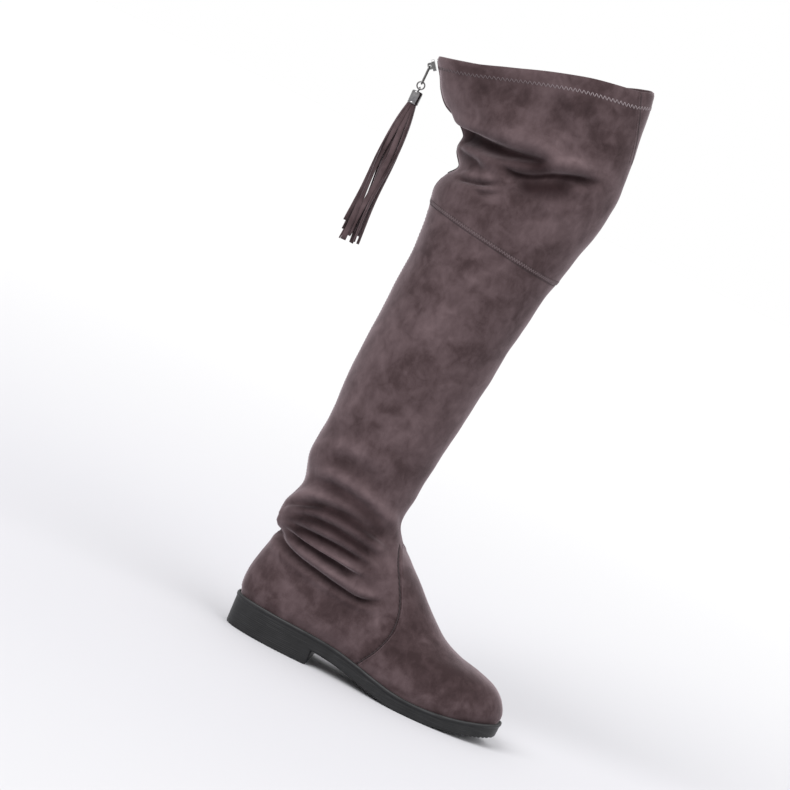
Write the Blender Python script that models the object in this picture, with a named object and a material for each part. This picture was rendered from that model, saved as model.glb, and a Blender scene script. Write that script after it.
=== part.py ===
"""Right over-the-knee boot: a lasted foot, a soft tall shaft, a low moulded sole and two zips.

Sizes and tables are in millimetres. Stations run forward from the back of the sole and heights run up
from the floor. In the finished frame +X points to the toe, +Y to the inner side and +Z up. The origin
lies on the floor under the middle of the heel.
"""
import math
from collections import namedtuple

import bmesh
import bpy
import numpy as np
from mathutils import Matrix, Vector

MM = 0.001

# Sole and foot
HEEL_CENTRE = 41.0
HEEL_LENGTH = 82.0
HEEL_TOP = 17.0
HEEL_END = 5.0
HEEL_AT = 40.0
WAIST_AT = 108.0
BALL_AT = 182.0
TOE_AT = 250.0
ANKLE_HEIGHT = 140.0
TOE_SWING = 4.0
SWING_START = 140.0
SWING_LENGTH = 120.0
SOLE_COLUMN_STEP = 9
HEEL_COLUMNS = 19

# Upper wall
WALL = 1.8
GAP = 0.35
PANEL_LAP = 0.7
LAP_RISE = 1.2
HEM_DEPTH = 11.0
ROW_STEP = 15.0
COLUMN_STEP = 10

# Insole
INSOLE_THICKNESS = 3.0
INSOLE_CLEARANCE = 0.6

# Zips
ZIP_SLOT = 6.0
ZIP_CLEARANCE = 0.4
BACK_ZIP_FOOT = 440.0
INNER_ZIP_FOOT = 62.0
INNER_ZIP_TOP = 300.0
COIL_HALF = 1.7
COIL_HEIGHT = 0.9
TAPE_BELOW = 1.5

# Sliders, pulls and tassel
SLIDER_LENGTH = 10.0
SLIDER_WIDTH = 7.0
SLIDER_THICKNESS = 2.6
SLIDER_LIFT = 2.1
SLIDER_CORNER = 1.6
BACK_SLIDER_BELOW = 6.0
INNER_SLIDER_BELOW = 7.0
LUG_LENGTH = 6.0
LUG_WIDTH = 1.8
LUG_HEIGHT = 4.2
LUG_ROOT = 1.0
LUG_CROWN = 1.4
EYE_RADIUS = 1.25
EYE_HEIGHT = 2.3
EYE_SIDES = 12
WIRE = 0.8
WIRE_SIDES = 6
PULL_LENGTH = 17.0
PULL_WIDTH = 5.6
PULL_STEPS = 20
RING_RADIUS = 3.4
RING_WIRE = 0.65
RING_STEPS = 16
CAP_RADIUS = 4.9
CAP_HEIGHT = 12.0
CAP_WALL = 0.9
CAP_EDGE = 1.2
CAP_STEPS = 20
CAP_EYE_RADIUS = 2.0
CAP_EYE_STEPS = 12
EYE_SUNK = 0.2
TASSEL_LENGTH = 138.0
STRIP_COUNT = 9
STRIP_WIDTH = 4.8
STRIP_THICKNESS = 1.3
STRIP_START = 2.5
STRIP_UNEVEN = 9.0
STRIP_SWAY = 1.6
STRIP_SWAY_STEP = 2.3
STRIP_ROOT = 0.8
CORE_BELOW_CAP = 8.0
CORE_FLARE = 1.1
CORE_SIDES = 14

# Height of the upper's lower edge and of the sole's underside along the boot
SoleLine = namedtuple("SoleLine", "station feather underside")
SOLE_LINE = [
    SoleLine(0, 28.0, 15.5),
    SoleLine(40, 27.4, 15.0),
    SoleLine(84, 26.0, 13.8),
    SoleLine(106, 23.8, 11.4),
    SoleLine(126, 20.2, 7.6),
    SoleLine(146, 16.2, 3.4),
    SoleLine(162, 13.6, 0.6),
    SoleLine(172, 12.6, 0.0),
    SoleLine(196, 12.4, 0.0),
    SoleLine(208, 13.2, 0.7),
    SoleLine(228, 15.8, 3.1),
    SoleLine(246, 19.4, 6.6),
    SoleLine(264, 23.8, 10.8),
]

# Lasted foot, from the sole's edge (rise 0) to the ankle (rise 1). Half widths are taken before the
# heel and toe ends are rounded off; square tells how blunt each end is.
FootSection = namedtuple(
    "FootSection", "rise back front heel waist_out waist_in ball_out ball_in square_heel square_toe")
FOOT_SECTIONS = [
    FootSection(0.000, 3.2, 258.5, 38.0, 33.5, 26.0, 45.0, 43.5, 2.50, 2.30),
    FootSection(0.022, 2.4, 259.2, 38.5, 34.2, 26.8, 45.6, 44.0, 2.50, 2.30),
    FootSection(0.065, 0.9, 259.0, 40.2, 36.0, 29.5, 46.8, 45.4, 2.50, 2.32),
    FootSection(0.130, 0.2, 256.0, 41.0, 37.0, 31.6, 47.2, 46.2, 2.46, 2.35),
    FootSection(0.195, 0.4, 251.0, 41.2, 37.2, 33.2, 47.0, 46.2, 2.42, 2.35),
    FootSection(0.262, 1.4, 242.0, 40.8, 37.0, 34.6, 46.2, 45.8, 2.40, 2.35),
    FootSection(0.320, 2.8, 227.0, 40.4, 36.8, 35.2, 45.0, 44.8, 2.38, 2.32),
    FootSection(0.366, 4.0, 207.0, 40.0, 36.6, 35.6, 43.4, 43.4, 2.35, 2.30),
    FootSection(0.435, 6.0, 187.0, 39.6, 36.6, 36.0, 41.0, 41.0, 2.30, 2.25),
    FootSection(0.535, 9.2, 169.5, 39.4, 37.0, 36.4, 39.5, 39.5, 2.25, 2.20),
    FootSection(0.600, 10.6, 159.5, 40.0, 38.0, 37.4, 39.0, 39.0, 2.20, 2.15),
    FootSection(0.690, 5.0, 147.0, 42.0, 39.6, 39.0, 39.0, 39.0, 2.15, 2.10),
    FootSection(0.815, 5.0, 128.5, 42.0, 40.4, 40.0, 40.0, 40.0, 2.10, 2.10),
    FootSection(0.915, 8.5, 114.5, 41.0, 40.4, 40.0, 40.0, 40.0, 2.10, 2.10),
    FootSection(1.000, 11.5, 107.0, 40.4, 40.4, 40.2, 40.2, 40.2, 2.10, 2.10),
]

# Worn shaft, from above the ankle to the collar; each section tilts from z_back to z_front
ShaftSection = namedtuple("ShaftSection", "z_back z_front back front half_out half_in square")
SHAFT_SECTIONS = [
    ShaftSection(170, 172, 5.5, 107.5, 42.0, 42.0, 2.10),
    ShaftSection(203, 207, 8.0, 111.5, 45.0, 45.0, 2.10),
    ShaftSection(241, 245, 6.5, 116.5, 48.0, 48.0, 2.10),
    ShaftSection(290, 293, 8.0, 122.0, 51.0, 51.0, 2.10),
    ShaftSection(338, 338, 10.0, 127.5, 52.5, 52.5, 2.10),
    ShaftSection(378, 370, 11.0, 131.0, 52.5, 52.5, 2.10),
    ShaftSection(408, 389, 8.0, 133.0, 52.0, 52.0, 2.10),
    ShaftSection(416, 399, 6.5, 142.5, 53.0, 53.0, 2.10),
    ShaftSection(430, 421, 6.0, 147.5, 54.0, 54.0, 2.10),
    ShaftSection(441, 441, 10.0, 151.0, 53.5, 53.5, 2.10),
    ShaftSection(452, 459, 16.5, 153.5, 52.5, 52.5, 2.15),
    ShaftSection(466, 477, 8.5, 154.5, 52.0, 52.0, 2.15),
    ShaftSection(479, 494, 8.0, 154.5, 50.5, 50.5, 2.20),
    ShaftSection(488, 509, -2.0, 153.5, 50.0, 50.0, 2.20),
    ShaftSection(496, 525, -16.5, 151.5, 49.5, 49.5, 2.20),
    ShaftSection(507, 542, -26.5, 149.0, 49.0, 49.0, 2.20),
    ShaftSection(519, 563, -34.0, 146.5, 48.5, 48.5, 2.20),
    ShaftSection(530, 582, -41.0, 144.0, 48.0, 48.0, 2.20),
]
ANKLE_SEAM_SECTION = 10
KNEE_SEAM_SECTION = len(FOOT_SECTIONS) + 6

# Line of the vamp seam on either side, from the sole up to the front of the ankle
SeamPlace = namedtuple("SeamPlace", "height station")
VAMP_SEAM = [
    SeamPlace(18, 122),
    SeamPlace(42, 136),
    SeamPlace(62, 141),
    SeamPlace(80, 140),
    SeamPlace(95, 134),
    SeamPlace(110, 124),
    SeamPlace(124, 115),
    SeamPlace(140, 104),
]

# Side of the sole from the inside of its lip outward and down: how far each edge stands outside the upper,
# how much it rises over the upper's lower edge, and its share of the wall's height below the lip
SideEdge = namedtuple("SideEdge", "out rise share")
SOLE_SIDE = [
    SideEdge(-3.0, -0.35, 0.0),
    SideEdge(1.3, -0.35, 0.0),
    SideEdge(1.5, 0.9, 0.0),
    SideEdge(2.5, 1.5, 0.0),
    SideEdge(3.4, 0.8, 0.0),
    SideEdge(3.7, -0.9, 0.0),
    SideEdge(3.3, -2.3, 0.0),
    SideEdge(2.7, -2.8, 0.0),
    SideEdge(2.9, -2.8, 0.22),
    SideEdge(2.4, -2.8, 0.32),
    SideEdge(2.8, -2.8, 0.42),
    SideEdge(2.6, -2.8, 0.68),
    SideEdge(2.1, -2.8, 0.76),
    SideEdge(2.4, -2.8, 0.84),
    SideEdge(1.5, -2.8, 1.0),
]

# Side of the heel block from the floor up, with a groove between each pair of ribs
HeelEdge = namedtuple("HeelEdge", "height out")
HEEL_SIDE = [
    HeelEdge(0.0, 0.7),
    HeelEdge(0.8, 1.6),
    HeelEdge(3.6, 1.8),
    HeelEdge(4.1, 1.3),
    HeelEdge(4.6, 1.8),
    HeelEdge(7.4, 2.0),
    HeelEdge(7.9, 1.5),
    HeelEdge(8.4, 2.0),
    HeelEdge(11.2, 2.2),
    HeelEdge(11.7, 1.7),
    HeelEdge(12.2, 2.2),
    HeelEdge(HEEL_TOP, 2.3),
]

# A tassel strip from the cap down: share of its length and distance from the tassel's middle
StripPlace = namedtuple("StripPlace", "share away")
STRIP = [
    StripPlace(0.0, 2.2),
    StripPlace(0.12, 5.2),
    StripPlace(0.4, 8.0),
    StripPlace(0.75, 7.4),
    StripPlace(1.0, 8.6),
]

for old in list(bpy.data.objects):
    bpy.data.objects.remove(old)


def make_material(name, colour, roughness, metallic=0.0):
    material = bpy.data.materials.new(name)
    material.use_nodes = True
    shader = material.node_tree.nodes["Principled BSDF"]
    shader.inputs["Base Color"].default_value = (*colour, 1.0)
    shader.inputs["Roughness"].default_value = roughness
    shader.inputs["Metallic"].default_value = metallic
    return material


SUEDE = make_material("suede", (0.105, 0.076, 0.080), 0.95)
SUEDE_STRIPS = make_material("tassel_suede", (0.105, 0.076, 0.080), 0.95)
RUBBER = make_material("sole_rubber", (0.035, 0.035, 0.037), 0.55)
FOOTBED = make_material("footbed", (0.12, 0.10, 0.10), 0.9)
COIL = make_material("zip_coil", (0.018, 0.020, 0.020), 0.5)
INNER_COIL = make_material("inner_zip_coil", (0.018, 0.020, 0.020), 0.5)
SLIDER_METAL = make_material("slider_metal", (0.30, 0.30, 0.31), 0.35, 1.0)
INNER_SLIDER_METAL = make_material("inner_slider_metal", (0.30, 0.30, 0.31), 0.35, 1.0)
PULL_METAL = make_material("pull_metal", (0.30, 0.30, 0.31), 0.35, 1.0)
INNER_PULL_METAL = make_material("inner_pull_metal", (0.30, 0.30, 0.31), 0.35, 1.0)
RING_METAL = make_material("ring_metal", (0.34, 0.34, 0.35), 0.3, 1.0)
CAP_METAL = make_material("cap_metal", (0.34, 0.34, 0.35), 0.3, 1.0)


def curve_through(knots, values, at):
    """Smooth curve through table values; each slope comes from the neighbouring rows."""
    knots = np.asarray(knots, float)
    values = np.asarray(values, float)
    at = np.atleast_1d(np.asarray(at, float))
    slopes = np.gradient(values, knots, axis=0)
    low = np.clip(np.searchsorted(knots, at, side="right") - 1, 0, len(knots) - 2)
    shape = (-1,) + (1,) * (values.ndim - 1)
    span = (knots[low + 1] - knots[low]).reshape(shape)
    t = ((at - knots[low]) / (knots[low + 1] - knots[low])).reshape(shape)
    start = (1 + 2 * t) * (1 - t) ** 2 * values[low] + t * (1 - t) ** 2 * span * slopes[low]
    end = t * t * (3 - 2 * t) * values[low + 1] + t * t * (t - 1) * span * slopes[low + 1]
    return start + end


def feather(station):
    return curve_through([r.station for r in SOLE_LINE], [r.feather for r in SOLE_LINE], station)


def underside(station):
    line = curve_through([r.station for r in SOLE_LINE], [r.underside for r in SOLE_LINE], station)
    return np.maximum(line, 0.0)


def swing(station):
    """The foot's middle line bends inward toward the toe."""
    ahead = np.clip((station - SWING_START) / SWING_LENGTH, 0.0, None)
    return TOE_SWING * ahead * ahead


def even_angles(step):
    return np.radians(np.arange(0, 360, step))


def slotted_angles(half_length, half_width, square_back, square_side):
    """Even columns, with the back column and the inner side column each split into two slot edges."""
    even = [a for a in range(0, 360, COLUMN_STEP) if a not in (0, 270)]
    back = math.asin((ZIP_SLOT / 2 / half_width) ** (square_back / 2))
    side = math.asin((ZIP_SLOT / 2 / half_length) ** (square_side / 2))
    edges = [back, 1.5 * math.pi - side, 1.5 * math.pi + side, 2 * math.pi - back]
    return np.array(sorted([math.radians(a) for a in even] + edges))


def rounded_loop(back, front, square_back, square_front, angles):
    """Stations around a loop and the share of the half width that is left at each of them."""
    cosine = np.cos(angles)
    power = np.where(cosine > 0, 2.0 / square_back, 2.0 / square_front)
    station = (back + front) / 2 - (front - back) / 2 * np.sign(cosine) * np.abs(cosine) ** power
    share = np.abs(np.sin(angles)) ** power
    return station, share


def foot_ring(section, angles=None):
    if angles is None:
        half = (section.front - section.back) / 2
        angles = slotted_angles(half, section.heel, section.square_heel, section.square_toe)
    station, share = rounded_loop(
        section.back, section.front, section.square_heel, section.square_toe, angles)
    measured = np.clip(station, HEEL_END, TOE_AT)
    places = [HEEL_END, HEEL_AT, WAIST_AT, BALL_AT, TOE_AT]
    outer_half = [section.heel, section.heel, section.waist_out, section.ball_out, section.ball_out]
    inner_half = [section.heel, section.heel, section.waist_in, section.ball_in, section.ball_in]
    outer = curve_through(places, outer_half, measured)
    inner = curve_through(places, inner_half, measured)
    width = np.where(np.sin(angles) > 0, -outer, inner) * share
    edge = feather(station)
    height = edge + (ANKLE_HEIGHT - edge) * section.rise
    return np.stack([station, width + swing(station) * (1 - section.rise), height], axis=1)


def shaft_ring(section):
    half = (section.front - section.back) / 2
    angles = slotted_angles(half, section.half_out, section.square, section.square)
    station, share = rounded_loop(section.back, section.front, section.square, section.square, angles)
    width = np.where(np.sin(angles) > 0, -section.half_out, section.half_in) * share
    forward = (station - section.back) / (section.front - section.back)
    height = section.z_back + (section.z_front - section.z_back) * forward
    return np.stack([station, width, height], axis=1)


def outward(grid):
    """Outward direction at each point of a grid of closed rows."""
    around = np.roll(grid, -1, axis=1) - np.roll(grid, 1, axis=1)
    upward = np.gradient(grid, axis=0)
    normal = np.cross(around, upward)
    return normal / np.linalg.norm(normal, axis=2, keepdims=True)


def plan_offset(ring, distance):
    """The ring moved sideways by a distance, level with itself."""
    around = np.roll(ring, -1, axis=0) - np.roll(ring, 1, axis=0)
    normal = np.stack([around[:, 1], -around[:, 0], np.zeros(len(ring))], axis=1)
    return ring + distance * normal / np.linalg.norm(normal, axis=1, keepdims=True)


def add_object(name, points, faces, material):
    """An object from points in millimetres and faces that are wound outward."""
    mesh = bpy.data.meshes.new(name)
    placed = (np.asarray(points) - np.array([HEEL_CENTRE, 0.0, 0.0])) * MM
    mesh.from_pydata([tuple(p) for p in placed], [], faces)
    mesh.materials.append(material)
    item = bpy.data.objects.new(name, mesh)
    bpy.context.collection.objects.link(item)
    return item


def add_boolean(item, other, operation):
    cut = item.modifiers.new(operation.lower(), "BOOLEAN")
    cut.object = other
    cut.operation = operation
    cut.solver = "EXACT"
    other.hide_render = True
    other.display_type = "WIRE"


def wall_face(i, j, rows, columns):
    """The quad between two columns of neighbouring closed rows."""
    k = (j + 1) % columns
    up = (i + 1) % rows
    return (i * columns + j, i * columns + k, up * columns + k, up * columns + j)


def wall_faces(rows, columns):
    return [wall_face(i, j, rows, columns) for i in range(rows - 1) for j in range(columns)]


def face_outward(item):
    body = bmesh.new()
    body.from_mesh(item.data)
    bmesh.ops.recalc_face_normals(body, faces=body.faces)
    body.to_mesh(item.data)
    body.free()


def prism_faces(rows, columns):
    """Walls and both end caps of a bar whose rows are closed loops."""
    faces = wall_faces(rows, columns)
    faces.append(tuple(reversed(range(columns))))
    faces.append(tuple(range((rows - 1) * columns, rows * columns)))
    return faces


def cap_strips(first, columns, upward):
    """Quads across a loop, joining each point to the one at the same station on the other side."""
    faces = []
    for j in range(columns // 2):
        far = columns - j
        quad = [first + j, first + j + 1, first + (far - 1) % columns, first + far % columns]
        quad = list(dict.fromkeys(quad))
        faces.append(tuple(quad if upward else reversed(quad)))
    return faces


def loop_stack(name, rings, material):
    """A closed body from stacked loops of even columns, the first loop lowest."""
    columns = len(rings[0])
    faces = wall_faces(len(rings), columns)
    faces += cap_strips(0, columns, False)
    faces += cap_strips((len(rings) - 1) * columns, columns, True)
    return add_object(name, np.concatenate(rings), faces, material)


def row_places(knots, laps):
    """Even rows between the sections, and a close pair of rows at each lap."""
    pairs = [lap + step for lap in laps for step in (0.0, LAP_RISE)]
    places = []
    for start, end in zip(knots[:-1], knots[1:]):
        pieces = max(1, round((end - start) / ROW_STEP))
        places += [start + (end - start) * k / pieces for k in range(pieces)]
    clear = [p for p in places if min(abs(p - lap - LAP_RISE / 2) for lap in laps) > ROW_STEP / 4]
    return np.array(sorted(clear + pairs + [knots[-1]]))


def build_upper_grid():
    """Rows of the whole upper from the sole's edge to the collar, each panel lapped over the one below."""
    rings = np.array([foot_ring(s) for s in FOOT_SECTIONS] + [shaft_ring(s) for s in SHAFT_SECTIONS])
    steps = np.linalg.norm(np.diff(rings, axis=0), axis=2).mean(axis=1)
    knots = np.concatenate([[0.0], np.cumsum(steps)])
    ankle = knots[ANKLE_SEAM_SECTION]
    knee = (knots[KNEE_SEAM_SECTION] + knots[KNEE_SEAM_SECTION + 1]) / 2
    hem = knots[-1] - HEM_DEPTH
    rows = row_places(knots, [ankle, knee, hem])
    grid = curve_through(knots, rings, rows)
    seam = curve_through([s.height for s in VAMP_SEAM], [s.station for s in VAMP_SEAM],
                         np.clip(grid[:, :, 2].ravel(), VAMP_SEAM[0].height, VAMP_SEAM[-1].height))
    quarter = (rows[:, None] < ankle + LAP_RISE / 2) & (grid[:, :, 0] < seam.reshape(grid.shape[:2]))
    raised = np.where(quarter, 0.0, PANEL_LAP)
    raised = raised + np.where(rows > knee + LAP_RISE / 2, PANEL_LAP, 0.0)[:, None]
    raised = raised + np.where(rows > hem + LAP_RISE / 2, PANEL_LAP, 0.0)[:, None]
    return grid + outward(grid) * raised[:, :, None]


GRID = build_upper_grid()
NORMALS = outward(GRID)
ROWS, COLUMNS = GRID.shape[:2]
BACK_EDGES = (COLUMNS - 1, 0)
INNER_EDGES = (270 // COLUMN_STEP, 270 // COLUMN_STEP + 1)


def slot_rows(column, low, high):
    heights = GRID[:, column, 2]
    return [i for i in range(ROWS) if low <= heights[i] <= high]


BACK_SLOT = slot_rows(0, BACK_ZIP_FOOT, math.inf)
INNER_SLOT = slot_rows(INNER_EDGES[0], INNER_ZIP_FOOT, INNER_ZIP_TOP)


def build_upper():
    faces = []
    for i in range(ROWS - 1):
        for j in range(COLUMNS):
            in_back = j == BACK_EDGES[0] and i in BACK_SLOT
            in_inner = j == INNER_EDGES[0] and i in INNER_SLOT and i + 1 in INNER_SLOT
            if not in_back and not in_inner:
                faces.append(wall_face(i, j, ROWS, COLUMNS))
    upper = add_object("upper", GRID.reshape(-1, 3), faces, SUEDE)
    wall = upper.modifiers.new("wall", "SOLIDIFY")
    wall.thickness = WALL * MM
    wall.offset = -1.0
    wall.use_even_offset = False
    wall.use_quality_normals = True
    return upper


def build_zip(name, rows, edges, ends_inside, material):
    """A coil zip lying in its slot: tape at both edges and a raised coil along the middle."""
    points = []
    for n, i in enumerate(rows):
        left, right = GRID[i, edges[0]], GRID[i, edges[1]]
        normal = NORMALS[i, edges[0]] + NORMALS[i, edges[1]]
        normal = normal / np.linalg.norm(normal)
        if n in ends_inside:
            step = rows[1] if n == 0 else rows[-2]
            lead = (GRID[step, edges[0]] + GRID[step, edges[1]] - left - right) / 2
            shift = ZIP_CLEARANCE * lead / np.linalg.norm(lead)
            left, right = left + shift, right + shift
        width = np.linalg.norm(right - left)
        across = (right - left) / width
        middle = (left + right) / 2
        edge = width / 2 - ZIP_CLEARANCE
        section = [
            (-edge, -TAPE_BELOW), (edge, -TAPE_BELOW), (edge, -WIRE / 2), (COIL_HALF + WIRE / 2, -WIRE / 2),
            (COIL_HALF, COIL_HEIGHT), (-COIL_HALF, COIL_HEIGHT), (-COIL_HALF - WIRE / 2, -WIRE / 2),
            (-edge, -WIRE / 2)]
        points += [middle + across * side + normal * lift for side, lift in section]
    count = len(section)
    faces = [tuple(reversed(f)) for f in prism_faces(len(rows), count)]
    return add_object(name, points, faces, material)


def build_outsole():
    angles = even_angles(SOLE_COLUMN_STEP)
    edge = foot_ring(FOOT_SECTIONS[0], angles)
    rings = []
    for side in reversed(SOLE_SIDE):
        ring = plan_offset(edge, side.out)
        top = feather(ring[:, 0]) + side.rise
        ring[:, 2] = top + (underside(ring[:, 0]) - top) * side.share
        rings.append(ring)
    return loop_stack("outsole", rings, RUBBER)


def build_heel():
    """Heel block, moulded into the sole."""
    sole = FOOT_SECTIONS[0]
    middle = (sole.back + sole.front) / 2
    reach = ((middle - HEEL_LENGTH) / (middle - sole.back)) ** (sole.square_heel / 2)
    breast = math.acos(reach)
    angles = np.linspace(-breast, breast, HEEL_COLUMNS) % (2 * math.pi)
    edge = foot_ring(sole, angles)
    around = np.gradient(edge, axis=0)
    normal = np.stack([around[:, 1], -around[:, 0], np.zeros(len(edge))], axis=1)
    normal = normal / np.linalg.norm(normal, axis=1, keepdims=True)
    rings = []
    for level in HEEL_SIDE:
        ring = edge + level.out * normal
        ring[:, 2] = level.height
        ring[0, 0] = HEEL_LENGTH
        ring[-1, 0] = HEEL_LENGTH
        rings.append(ring)
    return add_object("heel_block", np.concatenate(rings), prism_faces(len(rings), len(edge)), RUBBER)


def build_insole():
    angles = even_angles(SOLE_COLUMN_STEP)
    edge = plan_offset(foot_ring(FOOT_SECTIONS[0], angles), -WALL - INSOLE_CLEARANCE)
    low = edge.copy()
    low[:, 2] = feather(edge[:, 0])
    high = edge.copy()
    high[:, 2] = low[:, 2] + INSOLE_THICKNESS
    return loop_stack("insole", [low, high], FOOTBED)


def circle(centre, first, second, radius, count):
    path = []
    for k in range(count):
        turn = 2 * math.pi * k / count
        path.append(centre + first * (radius * math.cos(turn)) + second * (radius * math.sin(turn)))
    return path


def add_hoop(name, path, radius, material):
    """A closed wire loop."""
    path = [Vector(p) for p in path]
    count = len(path)
    flat = (path[count // 3] - path[0]).cross(path[2 * count // 3] - path[0]).normalized()
    points = []
    for i, place in enumerate(path):
        along = (path[(i + 1) % count] - path[i - 1]).normalized()
        points += circle(place, along.cross(flat), flat, radius, WIRE_SIDES)
    faces = [wall_face(i, j, count, WIRE_SIDES) for i in range(count) for j in range(WIRE_SIDES)]
    hoop = add_object(name, [tuple(p) for p in points], faces, material)
    face_outward(hoop)
    return hoop


def stadium(centre, across, down, width, length, count):
    """A long loop with round ends: its middle, its two directions and its centre-line sizes."""
    path = []
    radius = width / 2
    straight = (length - width) / 2
    for k in range(count):
        turn = 2 * math.pi * (k + 0.5) / count
        end = straight if math.cos(turn) > 0 else -straight
        path.append(centre + across * (radius * math.sin(turn)) + down * (radius * math.cos(turn) + end))
    return path


def solid_from(name, body, turn, place, material):
    """An object from a small solid, turned and set down at its place."""
    bmesh.ops.transform(body, matrix=turn, verts=body.verts)
    points = [v.co + place for v in body.verts]
    body.verts.index_update()
    faces = [tuple(v.index for v in f.verts) for f in body.faces]
    body.free()
    return add_object(name, [tuple(p) for p in points], faces, material)


def build_slider(name, place, along, out, material):
    """A slider lying over the coil, with a lug whose eye carries the pull."""
    across = along.cross(out)
    turn = Matrix((across, along, out)).transposed().to_4x4()
    body = bmesh.new()
    bmesh.ops.create_cube(body, size=1.0)
    bmesh.ops.scale(body, vec=(SLIDER_WIDTH, SLIDER_LENGTH, SLIDER_THICKNESS), verts=body.verts)
    tall = [e for e in body.edges if abs(e.verts[0].co.z - e.verts[1].co.z) > SLIDER_THICKNESS / 2]
    bmesh.ops.bevel(body, geom=tall, offset=SLIDER_CORNER, segments=2, profile=0.5, affect="EDGES")
    bmesh.ops.translate(body, vec=(0, 0, SLIDER_LIFT + SLIDER_THICKNESS / 2), verts=body.verts)
    slider = solid_from(name, body, turn, place, material)
    lug = bmesh.new()
    bmesh.ops.create_cube(lug, size=1.0)
    bmesh.ops.scale(lug, vec=(LUG_WIDTH, LUG_LENGTH, LUG_HEIGHT + LUG_ROOT), verts=lug.verts)
    upper_edges = [e for e in lug.edges if all(v.co.z > 0 for v in e.verts)]
    crown = [e for e in upper_edges if abs(e.verts[0].co.x - e.verts[1].co.x) > LUG_WIDTH / 2]
    bmesh.ops.bevel(lug, geom=crown, offset=LUG_CROWN, segments=2, profile=0.5, affect="EDGES")
    face = SLIDER_LIFT + SLIDER_THICKNESS
    bmesh.ops.translate(lug, vec=(0, 0, face + (LUG_HEIGHT - LUG_ROOT) / 2), verts=lug.verts)
    add_boolean(slider, solid_from(name + "_lug", lug, turn, place, material), "UNION")
    hole = bmesh.new()
    bmesh.ops.create_cone(
        hole, cap_ends=True, segments=EYE_SIDES, radius1=EYE_RADIUS, radius2=EYE_RADIUS,
        depth=3 * LUG_WIDTH)
    bmesh.ops.rotate(hole, matrix=Matrix.Rotation(math.pi / 2, 3, "Y"), verts=hole.verts)
    bmesh.ops.translate(hole, vec=(0, 0, face + EYE_HEIGHT), verts=hole.verts)
    add_boolean(slider, solid_from(name + "_eye", hole, turn, place, material), "DIFFERENCE")
    return place + out * (face + EYE_HEIGHT)


def build_tassel(top):
    """Flat strips fused to a core; the core's top fills the cap."""
    core = bmesh.new()
    core_radius = CAP_RADIUS - CAP_WALL - GAP
    core_length = CAP_HEIGHT + CORE_BELOW_CAP
    bmesh.ops.create_cone(
        core, cap_ends=True, segments=CORE_SIDES, radius1=core_radius * CORE_FLARE, radius2=core_radius,
        depth=core_length)
    lowered = Vector((0, 0, -CAP_WALL - GAP - core_length / 2))
    bmesh.ops.translate(core, vec=lowered, verts=core.verts)
    tassel = solid_from("tassel", core, Matrix.Identity(4), top, SUEDE_STRIPS)
    for k in range(STRIP_COUNT):
        turn = 2 * math.pi * k / STRIP_COUNT
        out = Vector((math.cos(turn), math.sin(turn), 0))
        across = Vector((-math.sin(turn), math.cos(turn), 0))
        tip = TASSEL_LENGTH - STRIP_UNEVEN * (k * 4 % STRIP_COUNT) / STRIP_COUNT
        sway = STRIP_SWAY * math.sin(STRIP_SWAY_STEP * k)
        points = []
        for share, away in STRIP:
            drop = CAP_HEIGHT + STRIP_START + (tip - STRIP_START) * share
            middle = top + out * away + across * (sway * share) - Vector((0, 0, drop))
            half = STRIP_WIDTH / 2 * (STRIP_ROOT + (1 - STRIP_ROOT) * min(1.0, 4 * share))
            for side, lift in ((-half, 0), (half, 0), (half, STRIP_THICKNESS), (-half, STRIP_THICKNESS)):
                points.append(middle + across * side + out * lift)
        corners = [tuple(p) for p in points]
        strip = add_object(f"tassel_strip_{k}", corners, prism_faces(len(STRIP), 4), SUEDE_STRIPS)
        face_outward(strip)
        add_boolean(tassel, strip, "UNION")
    return tassel


def build_cap(top):
    """A turned cup, open below, with a wire eye on its crown."""
    profile = [
        (0.0, -CAP_WALL), (CAP_RADIUS - CAP_WALL, -CAP_WALL), (CAP_RADIUS - CAP_WALL, -CAP_HEIGHT),
        (CAP_RADIUS, -CAP_HEIGHT), (CAP_RADIUS, -CAP_EDGE), (CAP_RADIUS - CAP_EDGE, 0.0), (0.0, 0.0)]
    body = bmesh.new()
    verts = [body.verts.new((x, 0, z)) for x, z in profile]
    edges = [body.edges.new((a, b)) for a, b in zip(verts[:-1], verts[1:])]
    bmesh.ops.spin(
        body, geom=verts + edges, cent=(0, 0, 0), axis=(0, 0, 1), angle=2 * math.pi, steps=CAP_STEPS,
        use_merge=True)
    bmesh.ops.remove_doubles(body, verts=body.verts, dist=0.01)
    bmesh.ops.recalc_face_normals(body, faces=body.faces)
    cap = solid_from("tassel_cap", body, Matrix.Identity(4), top, CAP_METAL)
    eye_middle = top + Vector((0, 0, CAP_EYE_RADIUS - EYE_SUNK))
    path = circle(eye_middle, Vector((0, 1, 0)), Vector((0, 0, 1)), CAP_EYE_RADIUS, CAP_EYE_STEPS)
    add_boolean(cap, add_hoop("cap_eye", path, RING_WIRE, CAP_METAL), "UNION")
    return cap


def build_pull(name, pivot, across, down, material):
    """A long wire pull hanging from the slider's eye by its upper end."""
    centre = pivot + down * (PULL_LENGTH / 2)
    path = stadium(centre, across, down, PULL_WIDTH, PULL_LENGTH, PULL_STEPS)
    return add_hoop(name, path, WIRE, material)


def hang(item, pivot):
    """Put an object's origin on the axis it swings about."""
    offset = Vector(((pivot.x - HEEL_CENTRE) * MM, pivot.y * MM, pivot.z * MM))
    item.data.transform(Matrix.Translation(-offset))
    item.location = offset


def zip_place(row, edges):
    """Middle of a zip slot at a row, and the outward direction there."""
    middle = (GRID[row, edges[0]] + GRID[row, edges[1]]) / 2
    return Vector(middle), Vector(NORMALS[row, edges[0]] + NORMALS[row, edges[1]]).normalized()


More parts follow.
